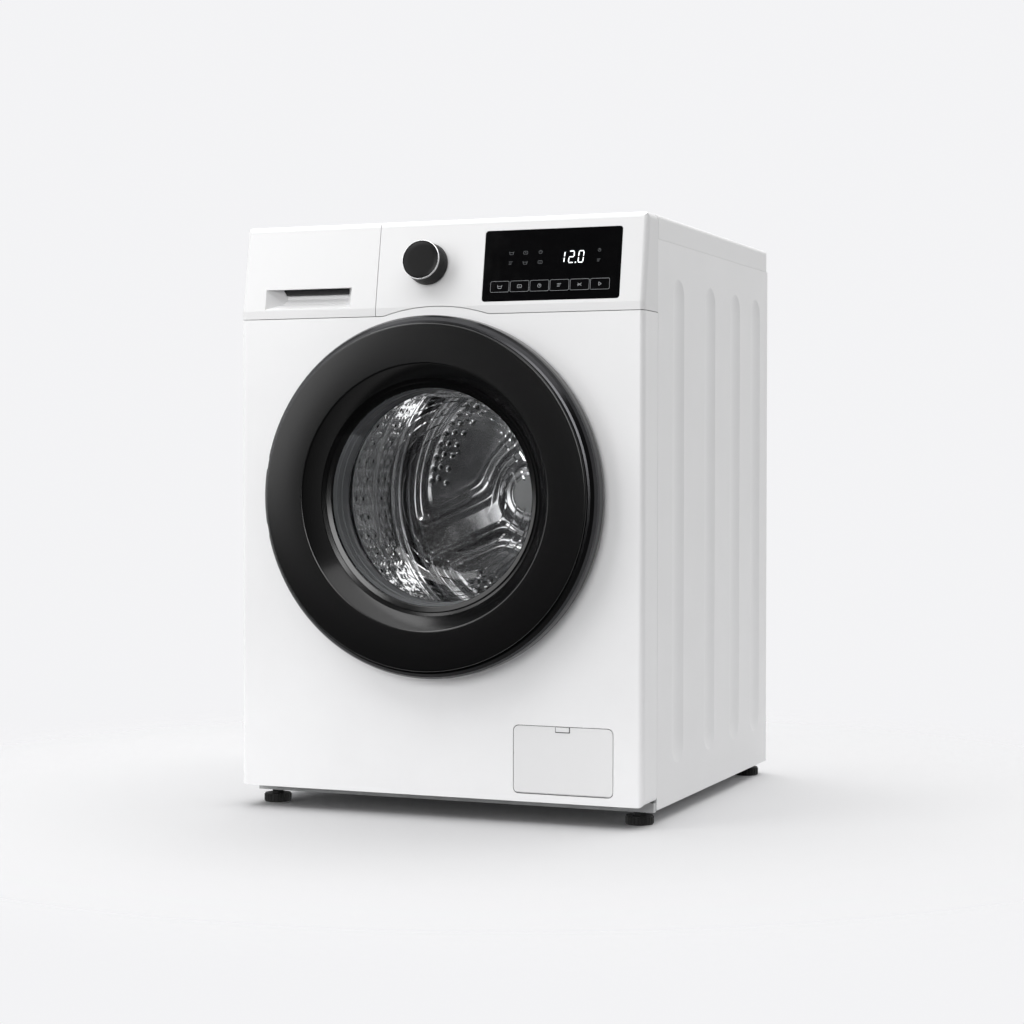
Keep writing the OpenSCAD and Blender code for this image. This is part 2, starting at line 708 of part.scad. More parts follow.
module tub_front() {
    color("#b9bdc1") difference() {
        union() {
            on_axis() {
                tube(tub_r + tub_t, tub_r - 1, 56, split_y);
                tube(tub_r + tub_t, 168, 56, 60);
                tube(172, 168, 42, 58);
                tube(tub_r + 13, tub_r, split_y - 8, split_y);
            }
            front_frame() {
                tub_lugs(0);
                block([-well_x, well_y[0], well_z], [well_x, well_y[1], 232]);
                translate([sump_x, sump_y, 148]) cylinder(r = 11, h = 16);
                translate([dose_hose[0], dose_hose[1], 590]) cylinder(r = 15, h = dose_z - 590);
            }
        }
        on_axis(60) cylinder(r = tub_r, h = 300);
        front_frame() {
            block([-well_x + 4, well_y[0] + 4, well_z + 4], [well_x - 4, well_y[1] - 4, 225]);
            translate([sump_x, sump_y, 140]) cylinder(r = 8, h = 40);
            translate([dose_hose[0], dose_hose[1], 580]) cylinder(r = 12, h = 60);
            for (x = heater_x) translate([x, 0, heater_z]) rod_y(4.2, 60, 72);
        }
    }
}

module tub_rear() {
    y0 = split_y + 0.2;
    color("#aeb2b6") difference() {
        union() {
            on_axis() {
                tube(tub_r + tub_t, tub_r - 1, y0, rear_wall_y + 6);
                tube(tub_r + 13, tub_r, y0, y0 + 8);
                tube(tub_r + tub_t, 24, rear_wall_y, rear_wall_y + 6);
                tube(48, 24, rear_wall_y - 4, 522);
                for (a = [15 : 30 : 345]) rotate([0, 0, a]) block([40, -2, rear_wall_y], [tub_r + 2, 2, 492]);
            }
            front_frame() {
                tub_lugs(1);
                for (x = [-58, 34]) block([x, 385, motor_z + 54], [x + 24, 435, 222]);
            }
        }
        on_axis(y0 - 1) cylinder(r = tub_r, h = rear_wall_y - y0 + 1);
        on_axis() {
            tube(36, 0.01, 474, 491);
            tube(31, 0.01, 504, 523);
        }
    }
}

// Sector-shaped front weights around the mouth and a block on top of the tub
module counterweights() {
    color("#8b8b88") {
        for (a = [-140, 40]) on_axis() rotate([0, 0, a]) rotate_extrude(angle = 100)
            translate([186, 16]) square([49, 39.8]);
        difference() {
            front_frame() block([-88, 112, 655], [96, 330, 764]);
            on_axis(100) cylinder(r = tub_r + tub_t + 0.1, h = 260);
            on_axis(split_y - 8.3) cylinder(r = tub_r + 13.3, h = 17);
        }
    }
}

module on_motor() { front_frame() translate([0, 0, motor_z]) rotate([-90, 0, 0]) children(); }

module motor_housing() {
    color("#3b3e42") difference() {
        union() {
            on_motor() translate([0, 0, 350]) cylinder(r = 56, h = 150);
            front_frame() block([-58, 385, motor_z], [58, 435, motor_z + 53.9]);
        }
        on_motor() {
            translate([0, 0, 358]) cylinder(r = 37, h = 134);
            translate([0, 0, 340]) cylinder(r = 6.06, h = 200);
        }
    }
}

module motor_rotor() {
    color(steel) on_motor() {
        translate([0, 0, 345]) cylinder(r = 6, h = 207);
        translate([0, 0, 375]) cylinder(r = 35, h = 98);
        translate([0, 0, 532]) cylinder(r = motor_pulley_r, h = 16);
        for (y = [529.5, 547.5]) translate([0, 0, y]) cylinder(r = motor_pulley_r + 3, h = 3);
    }
}

heater_x = [-26, 26];
heater_z = 176;

module heater() {
    color("#9a9ca0") front_frame() {
        for (x = heater_x) translate([x, 0, heater_z]) rod_y(4, 56, 190);
        translate([0, 190 - eps, heater_z]) rotate_extrude(angle = 180) translate([heater_x[1], 0]) circle(r = 4);
        block([-36, 60.2, heater_z - 9], [36, well_y[0] - 0.1, heater_z + 9]);
    }
}

// Two ball bearings and the lip seal in front of them
module drum_bearings() {
    color(steel) on_axis() {
        tube(35.98, 17.56, 474, 490.8);
        tube(30.98, 15.06, 504, 517);
        tube(23.9, 17.7, 464, 472);
    }
}

module drive_belt() {
    color(black) front_frame() translate([0, 546, 0]) rotate([90, 0, 0]) linear_extrude(12) difference() {
        belt_loop(4);
        belt_loop(0.3);
    }
}

module belt_loop(g) {
    hull() {
        translate([0, axis_z]) circle(r = pulley_r + g);
        translate([0, motor_z]) circle(r = motor_pulley_r + g);
    }
}

// ---- drum ----

drum_y = [72, 428];
lifter_a = -5;

module drum_shell() {
    color("#d5d7da") on_axis() difference() {
        union() {
            tube(drum_r + 1, drum_r, drum_y[0], drum_y[1]);
            tube(drum_r + 1, 160, drum_y[0] - 1.2, drum_y[0]);
            tube(162, 160, drum_y[0] - 7, drum_y[0]);
        }
        for (row = [0 : 3], i = [0 : 14]) rotate([0, 0, i * 24 + row * 12 + 6])
            translate([drum_r - 5, 0, drum_y[0] + 60 + row * 75]) rotate([0, 90, 0]) cylinder(r = 2, h = 10);
    }
}

module drum_back() {
    face = [[0, 358], [27, 358], [30, 361], [44, 363], [60, 384], [150, 396], [205, 400], [228, 412], [239.7, 427.8]];
    last = len(face) - 1;
    back = [for (i = [0 : last]) [max(0, face[last - i].x - (i == 0 ? 1.5 : 0)), face[last - i].y + 1.3]];
    color("#d5d7da") on_axis() difference() {
        rotate_extrude() polygon(concat(face, back));
        for (arm = [0 : 2], row = [-1 : 1], i = [0 : 3]) rotate([0, 0, lifter_a + 60 + arm * 120 + row * 7])
            translate([120 + i * 20, 0, 380]) cylinder(r = 2.4, h = 30);
    }
}

module lifter_outline(g) {
    polygon([[242 + g, -32 + g], [196 + g / 2, -12 + g], [196 + g / 2, 12 - g], [242 + g, 32 - g]]);
    translate([196 + g / 2, 0]) circle(r = 12 - g);
}

module drum_lifters() {
    color("#e3e4e6") on_axis() for (i = [0 : 2]) rotate([0, 0, lifter_a + i * 120]) difference() {
        intersection() {
            translate([0, 0, drum_y[0] + 40]) linear_extrude(270) lifter_outline(0);
            cylinder(r = drum_r - 0.2, h = 500);
        }
        translate([0, 0, drum_y[0] + 43]) linear_extrude(264) lifter_outline(3);
    }
}

module drum_spider() {
    color("#a9acb0") on_axis() {
        translate([0, 0, 367]) cylinder(r = 37, h = 93);
        for (i = [0 : 2]) rotate([0, 0, lifter_a + i * 120]) difference() {
            block([0, -21, 430], [238, 21, 452]);
            block([50, -15, 436], [226, 15, 453]);
        }
        translate([0, 0, 459]) cylinder(r = 17.5, h = 33);
        translate([0, 0, 490]) cylinder(r = 15, h = 64);
    }
}

module drum_pulley() {
    color("#b4b7bb") on_axis() {
        difference() {
            tube(pulley_r, pulley_r - 9, 532, 548);
            for (i = [0 : 3]) tube(pulley_r + 1, pulley_r - 1.6, 535 + i * 3, 536.2 + i * 3);
        }
        tube(26, 15, 530, 550);
        for (i = [0 : 5]) rotate([0, 0, i * 60]) block([20, -9, 537], [pulley_r - 5, 9, 543]);
        translate([0, 0, 554]) cylinder(r = 11, h = 6, $fn = 6);
    }
}

// ---- door ----

trim_in_r = door_r - 2.6;
glass_t = 4;
sleeve_r = bowl_r - glass_t - 1.5;   // the frame's sleeve lines the bowl's mouth
sleeve_y = 33;
arm_slot = [hinge_arm_z[0] - 2, hinge_arm_z[1] + 2];

// The two slots through which the hinge's arms reach the pin
module arm_slots(y0, y1) {
    for (s = [-1, 1]) front_frame() translate([0, 0, axis_z]) scale([1, 1, s])
        block([-door_r - 5, y0, arm_slot[0]], [hinge_x + 32, y1, arm_slot[1]]);
}

module door_outer_frame() {
    y = -door_proud;
    rim = door_r - 11.4;
    color(black) {
        on_axis() rotate_extrude() polygon([
            [sleeve_r - 1, sleeve_y], [sleeve_r, -14], [sleeve_r + 2.3, -18.5], [window_r - 6, -20],
            [window_r - 5, -21.5], [window_r, y + 23], [face_in_r, y + 0.6], [face_in_r + 1.5, y],
            [rim - 2.1, y], [rim, y + 2], [rim, y + 8.5], [rim - 2.6, y + 8.5], [rim - 2.6, y + 2.6],
            [face_in_r + 3, y + 2.6], [window_r + 3.5, y + 24.5], [window_r + 9, y + 24.5],
            [window_r + 9, y + 27.8], [sleeve_r + 2.4, y + 27.8], [sleeve_r + 1, -14.8], [sleeve_r + 0.9, 20],
            [sleeve_r, sleeve_y]]);
        on_axis() for (a = [30 : 60 : 330]) rotate([0, 0, a]) translate([210, 0, y + 2.5]) cylinder(r = 5, h = 32.3);
        front_frame() for (s = [-1, 1]) translate([hinge_x + 27, 0, axis_z + s * 25]) rod_y(5, y + 2.5, hinge_y - 6.1);
    }
}

module door_trim_ring() {
    y = -door_proud;
    r = door_r;
    color("#3a3b3d") difference() {
        on_axis() rotate_extrude() polygon([
            [r - 11, y + 6], [r - 8, y + 6.4], [r - 3.5, y + 10.5], [r - 0.7, y + 16], [r, y + 22], [r, y + 35.5],
            [trim_in_r, y + 35.5], [trim_in_r, y + 22], [r - 3.3, y + 17], [r - 5.5, y + 12.7],
            [r - 8.8, y + 9.4], [r - 11, y + 9]]);
        arm_slots(-door_proud + 9, 0);
    }
}

module door_inner_frame() {
    r = door_r - 4;
    color("#55585c") difference() {
        union() {
            on_axis() {
                tube(r, bowl_r + 2.4, -10, -7.5);
                tube(r, r - 2.5, -22, -9);
                tube(bowl_r + 5.4, bowl_r + 2.4, -11.9, -9);
            }
            for (z = [[-10, -4], [4, 10]])
                front_frame() block([latch_x - 6, -27, axis_z + z[0]], [latch_x + 6, -9, axis_z + z[1]]);
        }
        arm_slots(-30, 0);
        front_frame() block([latch_x - 10, -15, axis_z - 4], [latch_x + 17, 0, axis_z + 4]);
        front_frame() translate([latch_x, latch_y, axis_z - 15]) cylinder(r = 2.56, h = 30);
    }
}

latch_y = -20;

// Spring-loaded hook on its own pivot pin
module latch_hook() {
    color(steel) front_frame() translate([latch_x, latch_y, axis_z]) {
        translate([0, 0, -3]) linear_extrude(6) {
            circle(r = 5);
            polygon([[-4.5, 0], [4.5, 0], [4.5, 34], [11, 34], [4, 46], [-4.5, 44]]);
        }
        translate([0, 0, -9.9]) cylinder(r = 2.5, h = 19.8);
    }
}

// Superellipse outline of the bowl, from its mouth to its middle
bowl_power = 3.2;
function bowl_point(r, depth, y) = [r * pow(1 - pow(y / depth, bowl_power), 1 / bowl_power), y];
bowl_steps = 16;

module door_glass() {
    r = bowl_r;
    t = glass_t;
    y0 = -door_proud + 28;
    outside = [for (i = [0 : bowl_steps]) bowl_point(r, bowl_depth, bowl_depth * sin(i * 90 / bowl_steps))];
    inside = [for (i = [bowl_steps : -1 : 0])
              bowl_point(r - t, bowl_depth - t, (bowl_depth - t) * sin(i * 90 / bowl_steps))];
    color([0.75, 0.8, 0.82, 0.35]) on_axis() rotate_extrude() polygon(concat(
        [[window_r + 7, y0], [window_r + 7, y0 + 5], [r + 2, y0 + 5]], outside, inside, [[r - t, y0 + 2], [r - t + 2, y0]]));
}

module door_hinge() {
    color(steel) front_frame() translate([0, 0, axis_z - 37.5]) difference() {
        union() {
            translate([hinge_x, hinge_y, 0]) cylinder(r = 6, h = 75);
            block([hinge_x, hinge_y - 6, 0], [hinge_x + 36, hinge_y - 3, 75]);
        }
        translate([hinge_x, hinge_y, -1]) cylinder(r = 3.56, h = 80);
    }
}

module hinge_bracket() {
    color(steel) front_frame() translate([0, 0, axis_z]) {
        block([hinge_x + 8, -2.5, -58], [hinge_x + 42, -0.05, 58]);
        for (s = [-1, 1]) scale([1, 1, s]) translate([0, 0, hinge_arm_z[0]]) difference() {
            linear_extrude(hinge_arm_z[1] - hinge_arm_z[0]) translate([hinge_x, hinge_y]) {
                circle(r = 6.5);
                intersection() {
                    rotate(50) translate([0, -5]) square([50, 10]);
                    square([60, -hinge_y - 1]);
                }
            }
            translate([hinge_x, hinge_y, -1]) cylinder(r = 3.5, h = 20);
        }
    }
}

module hinge_pin() {
    color("#8f9296") front_frame() translate([hinge_x, hinge_y, axis_z]) {
        translate([0, 0, -hinge_arm_z[1]]) cylinder(r = 3.5, h = 2 * hinge_arm_z[1]);
        translate([0, 0, hinge_arm_z[1]]) cylinder(r = 5.5, h = 2);
    }
}

module door_lock() {
    color("#3c3f43") front_frame() difference() {
        block([192, sheet_t, axis_z - 36], [240, 38, axis_z + 36]);
        block([latch_x - 15, 0, axis_z - 7], [latch_x + 20, 34, axis_z + 7]);
    }
}

module door_gasket() {
    color("#3d3f42") on_axis() rotate_extrude() polygon([
        [163, -4], [160.5, 0], [157.2, 7], [157, 14], [158.5, 17.5], [162, 19.5], [177, 21], [180, 25], [180, 33],
        [172.2, 38], [172.2, 54], [175, 54], [175, 40.5], [183, 35], [183, 23], [179, 18], [163, 16.7],
        [160.2, 14], [160.3, 8.5], [162, 4.5], [170, 4.2], [170, 1.5], [164.7, 1.5], [164.7, -0.3], [170, -0.3],
        [170, -3], [165, -4.5]]);
}

// ---- service flap and feet ----

flap_x = [116, 257.5];
flap_z = [42, 133];
flap_pin_y = 3.2;
flap_pin_z = 50;

module filter_flap() {
    notch = [flap_x[0] + 60, flap_x[0] + 81];
    color(white) front_frame() {
        difference() {
            upright_plate([flap_x[0], flap_z[0]], [flap_x[1], flap_z[1]], 7.5, 0, 2.6);
            block([notch[0], -1, flap_z[1] - 3.2], [notch[1], 1.6, flap_z[1] + 1]);
            translate([0, 0, flap_z[0]]) rotate([45, 0, 0]) block([0, -1.2, -1.2], [400, 1.2, 1.2]);
        }
        for (x = [flap_x[0] + 1, flap_x[1] - 8]) block([x, 2.5, flap_pin_z - 3], [x + 7, flap_pin_y + 2, flap_pin_z + 3]);
        translate([0, flap_pin_y, flap_pin_z]) {
            rod_x(1.5, flap_x[0] - 5.6, flap_x[0] + 2);
            rod_x(1.5, flap_x[1] - 2, flap_x[1] + 5.6);
        }
    }
}

module levelling_foot(sx, i) {
    color("#1b1b1c") front_frame() translate([sx * foot_x, foot_y[i], 0]) {
        difference() {
            union() {
                cylinder(r = foot_r - 1, h = 12);
                translate([0, 0, 1.5]) cylinder(r = foot_r, h = 9);
            }
            for (a = [0 : 15 : 345]) rotate([0, 0, a]) translate([foot_r + 0.6, 0, -1]) cylinder(r = 1.6, h = 20, $fn = 16);
        }
        translate([0, 0, 12 - eps]) cylinder(r = 9, h = 4.9, $fn = 6);
        translate([0, 0, 16]) cylinder(r = 5, h = 34);
    }
}

module foot_front_left() { levelling_foot(-1, 0); }
module foot_front_right() { levelling_foot(1, 0); }
module foot_rear_left() { levelling_foot(-1, 1); }
module foot_rear_right() { levelling_foot(1, 1); }

screw_x = service_r[0] + 7;
screw_z = [290, 370, 450, 530, 605];

// Screws that hold the service cover to the rear panel
module cabinet_screws() {
    y = body_d - 0.2;
    color(steel) front_frame() for (s = [-1, 1], z = screw_z) translate([s * screw_x, 0, z]) {
        rod_y(4.2, y, y + 2.6);
        rod_y(2, y - 10, y + 0.5);
    }
}

side_panel_left();
side_panel_right();
rear_panel();
rear_cover();
worktop();
front_panel();
control_panel();
top_crossbar();
base_tray();
display_window();
control_boards();
dispenser_housing();
inlet_valve();
cord_gland();
drain_pump();
door_lock();
hinge_bracket();
hinge_pin();
suspension_springs();
damper_cylinders();
cabinet_screws();
door_gasket();
cabinet_hoses();
tub_hoses();
tub_front();
tub_rear();
counterweights();
motor_housing();
heater();
drum_bearings();
damper_rods();
drive_belt();
drum_shell();
drum_back();
drum_lifters();
drum_spider();
drum_pulley();
motor_rotor();
door_outer_frame();
door_trim_ring();
door_inner_frame();
door_glass();
door_hinge();
latch_hook();
drawer_front();
detergent_tray();
knob_body();
knob_ring();
key_1();
key_2();
key_3();
key_4();
key_5();
key_6();
filter_flap();
filter_cap();
foot_front_left();
foot_front_right();
foot_rear_left();
foot_rear_right();
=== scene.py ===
"""Looks of the front load washing machine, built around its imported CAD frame."""

import json
import math

import bmesh
import bpy
from mathutils import Matrix, Vector

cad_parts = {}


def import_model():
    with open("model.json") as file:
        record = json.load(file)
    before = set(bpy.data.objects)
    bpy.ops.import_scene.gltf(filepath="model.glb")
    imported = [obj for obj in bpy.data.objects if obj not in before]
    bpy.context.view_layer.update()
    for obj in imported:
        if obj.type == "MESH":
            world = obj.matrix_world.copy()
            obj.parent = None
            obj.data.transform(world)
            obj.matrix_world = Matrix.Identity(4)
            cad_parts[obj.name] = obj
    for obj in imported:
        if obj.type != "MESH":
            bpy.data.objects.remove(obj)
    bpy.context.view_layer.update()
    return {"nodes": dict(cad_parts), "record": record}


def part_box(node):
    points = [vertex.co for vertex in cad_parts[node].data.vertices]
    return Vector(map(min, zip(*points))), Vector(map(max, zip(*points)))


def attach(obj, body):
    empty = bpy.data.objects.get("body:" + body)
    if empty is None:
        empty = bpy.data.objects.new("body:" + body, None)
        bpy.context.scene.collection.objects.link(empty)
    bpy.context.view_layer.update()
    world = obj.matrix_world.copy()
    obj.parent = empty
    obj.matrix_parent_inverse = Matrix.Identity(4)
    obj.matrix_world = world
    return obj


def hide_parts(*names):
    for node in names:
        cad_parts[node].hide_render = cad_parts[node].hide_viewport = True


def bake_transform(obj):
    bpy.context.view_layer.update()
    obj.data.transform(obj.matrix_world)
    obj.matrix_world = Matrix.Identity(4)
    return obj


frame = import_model()

MM = 0.001
NODES = frame["nodes"]
SLOT_OF = {part["node"]: part["material_slot"] for part in frame["record"]["subparts"]}
FRONT_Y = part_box("front_panel")[0].y  # outer face of the front panel
AXIS_Z = sum(corner.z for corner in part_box("drum_shell")) / 2 / MM
TURN = 2 * math.pi
DRUM_R = 240.0  # inner radius of the drum's wall, in millimetres


# ---- places and meshes ----


def place(x, y, z):
    """A point given in millimetres, with y counted backwards from the front panel."""
    return (x * MM, FRONT_Y + y * MM, z * MM)


def around(r, angle, y):
    """A point at radius r round the drum's axis; angle runs from +X towards +Z."""
    return place(r * math.cos(angle), y, AXIS_Z + r * math.sin(angle))


def mesh_object(name, points, faces, sharp=35.0):
    """A new smooth-shaded mesh whose edges over sharp degrees stay crisp."""
    mesh = bpy.data.meshes.new(name)
    mesh.from_pydata(points, [], faces)
    work = bmesh.new()
    work.from_mesh(mesh)
    bmesh.ops.remove_doubles(work, verts=work.verts, dist=1e-6)
    bmesh.ops.recalc_face_normals(work, faces=work.faces)
    work.to_mesh(mesh)
    work.free()
    mesh.shade_smooth()
    mesh.set_sharp_from_angle(angle=math.radians(sharp))
    obj = bpy.data.objects.new(name, mesh)
    bpy.context.scene.collection.objects.link(obj)
    return obj


def dress(obj, slot, body=None, replaced=()):
    """Gives a piece its material and slot and its body, and hides the CAD nodes it stands for."""
    obj.data.materials.clear()
    obj.data.materials.append(MATERIALS[slot])
    if body:
        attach(obj, body)
    if replaced:
        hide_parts(*replaced)
    return obj


def apply_modifiers(obj):
    """Makes the mesh what its modifiers show."""
    with bpy.context.temp_override(object=obj, active_object=obj, selected_objects=[obj]):
        for modifier in list(obj.modifiers):
            bpy.ops.object.modifier_apply(modifier=modifier.name)


def thicken(obj, thickness, offset=1.0):
    """Turns an open sheet into a wall."""
    wall = obj.modifiers.new("wall", "SOLIDIFY")
    wall.thickness = thickness * MM
    wall.offset = offset
    apply_modifiers(obj)


def loop_faces(rows, columns, closed_rows, closed_columns=True):
    """Quads between rows of points that each have the same number of columns."""
    faces = []
    for i in range(rows if closed_rows else rows - 1):
        for j in range(columns if closed_columns else columns - 1):
            a, b = i * columns, (i + 1) % rows * columns
            k = (j + 1) % columns
            faces.append((a + j, a + k, b + k, b + j))
    return faces


def lathe(name, profile, steps=256, closed=True, sharp=35.0):
    """Turns (radius, y) points round the drum's axis."""
    points = [around(r, TURN * j / steps, y) for r, y in profile for j in range(steps)]
    return mesh_object(name, points, loop_faces(len(profile), steps, closed), sharp)


def arc(centre, radius, start, end, count):
    """Points of an arc in a profile, angles in degrees."""
    turn = [math.radians(start + (end - start) * i / (count - 1)) for i in range(count)]
    return [(centre[0] + radius * math.cos(a), centre[1] + radius * math.sin(a)) for a in turn]


def sweep(name, path, radius, sides=10, waist=1.0):
    """A round tube along points in metres, with closed ends; every other ring narrows to waist."""
    path = [Vector(p) for p in path]
    points, faces = [], []
    across = None
    for i, centre in enumerate(path):
        along = (path[min(i + 1, len(path) - 1)] - path[max(i - 1, 0)]).normalized()
        if across is None:
            across = along.orthogonal().normalized()
        across = (across - along * across.dot(along)).normalized()
        up = along.cross(across)
        for j in range(sides):
            a = TURN * j / sides
            reach = radius * (waist if i % 2 else 1.0)
            points.append(centre + (across * math.cos(a) + up * math.sin(a)) * reach)
    faces = loop_faces(len(path), sides, False)
    faces += [tuple(range(sides)), tuple(range(len(points) - sides, len(points)))]
    return mesh_object(name, points, faces, 50.0)


# ---- materials ----


def new_material(name):
    material = bpy.data.materials.new(name)
    material.use_nodes = True
    tree = material.node_tree
    return material, tree.nodes, tree.links, tree.nodes["Principled BSDF"]


def noise(nodes, links, source, scale, detail=3.0):
    node = nodes.new("ShaderNodeTexNoise")
    node.inputs["Scale"].default_value = scale
    node.inputs["Detail"].default_value = detail
    links.new(source, node.inputs["Vector"])
    return node.outputs["Fac"]


def ranged(nodes, links, value, low, high):
    """Maps the usual span of a noise to low..high."""
    node = nodes.new("ShaderNodeMapRange")
    node.inputs["From Min"].default_value = 0.3
    node.inputs["From Max"].default_value = 0.7
    node.inputs["To Min"].default_value = low
    node.inputs["To Max"].default_value = high
    links.new(value, node.inputs["Value"])
    return node.outputs["Result"]


def blend_colours(nodes, links, factor, first, second):
    node = nodes.new("ShaderNodeMix")
    node.data_type = "RGBA"
    node.inputs[6].default_value = (*first, 1)
    node.inputs[7].default_value = (*second, 1)
    links.new(factor, node.inputs[0])
    return node.outputs[2]


def surface(name, colour, spread, grain, rough, bump, fine, stretch=(1, 1, 1), **fixed):
    """A material whose tone and roughness drift over grain metres, with relief at fine metres.

    colour is the mean tone, spread how far it drifts, rough the lowest and highest roughness,
    bump the relief's height in metres, and fixed the shader's own constant sockets.
    """
    material, nodes, links, shader = new_material(name)
    where = nodes.new("ShaderNodeTexCoord")
    mapping = nodes.new("ShaderNodeMapping")
    mapping.inputs["Scale"].default_value = stretch
    links.new(where.outputs["Object"], mapping.inputs["Vector"])
    source = mapping.outputs["Vector"]
    drift = noise(nodes, links, source, 1 / grain)
    darker = [max(0, c * (1 - spread)) for c in colour]
    lighter = [min(1, c * (1 + spread)) for c in colour]
    factor = ranged(nodes, links, drift, 0, 1)
    links.new(blend_colours(nodes, links, factor, darker, lighter), shader.inputs["Base Color"])
    relief = noise(nodes, links, source, 1 / fine, 5.0)
    links.new(ranged(nodes, links, relief, *rough), shader.inputs["Roughness"])
    bumps = nodes.new("ShaderNodeBump")
    bumps.inputs["Distance"].default_value = bump
    links.new(relief, bumps.inputs["Height"])
    links.new(bumps.outputs["Normal"], shader.inputs["Normal"])
    for socket, value in fixed.items():
        shader.inputs[socket.replace("_", " ")].default_value = value
    return material


def enamel(slot, level):
    """Baked enamel: a faint orange peel under a clear gloss."""
    colour = (level, level, level * 1.008)
    return surface(slot, colour, 0.012, 0.09, (0.3, 0.36), 0.00002, 0.0035, IOR=1.5)


def moulded(slot, colour, rough=0.4, relief=0.00004, spread=0.03, grain=0.03):
    """Moulded plastic with the fine spark-eroded grain of its tool."""
    return surface(
        slot, colour, spread, grain, (rough - 0.03, rough + 0.04), relief, 0.0006, IOR=1.48
    )


def gloss(slot, level, grain, rough, relief):
    """Black printed behind a clear polished face."""
    colour = (level, level, level * 1.15)
    return surface(slot, colour, 0.1, grain, rough, relief, 0.01, IOR=1.5)


def metal(slot, colour, rough, relief=0.00002, stretch=(1, 1, 1), fine=0.002):
    return surface(
        slot, colour, 0.06, 0.02, (rough, rough + 0.1), relief, fine, stretch, Metallic=1.0
    )


def rubber(slot, colour):
    return surface(slot, colour, 0.12, 0.012, (0.55, 0.7), 0.00006, 0.0012, IOR=1.52)


def polished_steel(slot):
    """Pressed stainless sheet: satin, with soft streaks along the rolling direction."""
    colour, along_y = (0.56, 0.56, 0.57), (1, 0.3, 1)
    return surface(slot, colour, 0.06, 0.05, (0.19, 0.25), 0.0000006, 0.03, along_y, Metallic=1.0)


def drum_wall_steel(name):
    """Steel of the drum's wall with painted shade: full tone on the pearls, darker between them and nearly
    black in the holes.
    """
    material = surface(
        name, (0.8, 0.8, 0.81), 0.05, 0.02, (0.1, 0.16), 0.000002, 0.01, Metallic=0.8, IOR=1.5
    )
    nodes, links = material.node_tree.nodes, material.node_tree.links
    shader = nodes["Principled BSDF"]
    where = nodes.new("ShaderNodeTexCoord")
    centred = nodes.new("ShaderNodeVectorMath")
    centred.operation = "SUBTRACT"
    centred.inputs[1].default_value = (0, 0, AXIS_Z * MM)
    links.new(where.outputs["Object"], centred.inputs[0])
    flat = nodes.new("ShaderNodeVectorMath")
    flat.operation = "MULTIPLY"
    flat.inputs[1].default_value = (1, 0, 1)
    links.new(centred.outputs[0], flat.inputs[0])
    radius = nodes.new("ShaderNodeVectorMath")
    radius.operation = "LENGTH"
    links.new(flat.outputs[0], radius.inputs[0])
    # Painted shade: the steel's colour falls with radius, nearly black in the holes, dimmer on the flat sheet
    # between cells, full on the pearls' tops.
    shade = nodes.new("ShaderNodeMapRange")
    shade.interpolation_type = "SMOOTHSTEP"
    dark_r, bright_r = (DRUM_R + 1.1) * MM, (DRUM_R - 1.8) * MM
    for socket, value in (("From Min", dark_r), ("From Max", bright_r), ("To Min", 0.02), ("To Max", 1.0)):
        shade.inputs[socket].default_value = value
    links.new(radius.outputs["Value"], shade.inputs["Value"])
    painted_shade_mix = nodes.new("ShaderNodeMix")
    painted_shade_mix.data_type = "RGBA"
    painted_shade_mix.blend_type = "MULTIPLY"
    painted_shade_mix.inputs[0].default_value = 1.0
    links.new(shader.inputs["Base Color"].links[0].from_socket, painted_shade_mix.inputs[6])
    links.new(shade.outputs["Result"], painted_shade_mix.inputs[7])
    links.new(painted_shade_mix.outputs[2], shader.inputs["Base Color"])
    return material


def clear_glass(slot):
    """Pressed glass: clear, with a very slight waviness."""
    return surface(
        slot, (0.96, 0.975, 0.975), 0.01, 0.05, (0.0, 0.02), 0.00001, 0.03,
        IOR=1.45, Transmission_Weight=1.0,
    )


def speckled_concrete(slot):
    return surface(slot, (0.36, 0.355, 0.345), 0.3, 0.004, (0.75, 0.95), 0.0004, 0.003)


def circuit_board(slot):
    return surface(slot, (0.03, 0.19, 0.1), 0.25, 0.003, (0.3, 0.5), 0.00008, 0.0015)


def glowing(name, colour, strength, spread=0.08):
    """A lit segment behind the lens, or a printed mark made to glow as painted light."""
    material = surface(name, colour, spread, 0.01, (0.35, 0.45), 0.00001, 0.0008)
    shader = material.node_tree.nodes["Principled BSDF"]
    shader.inputs["Emission Color"].default_value = (*colour, 1)
    shader.inputs["Emission Strength"].default_value = strength
    return material


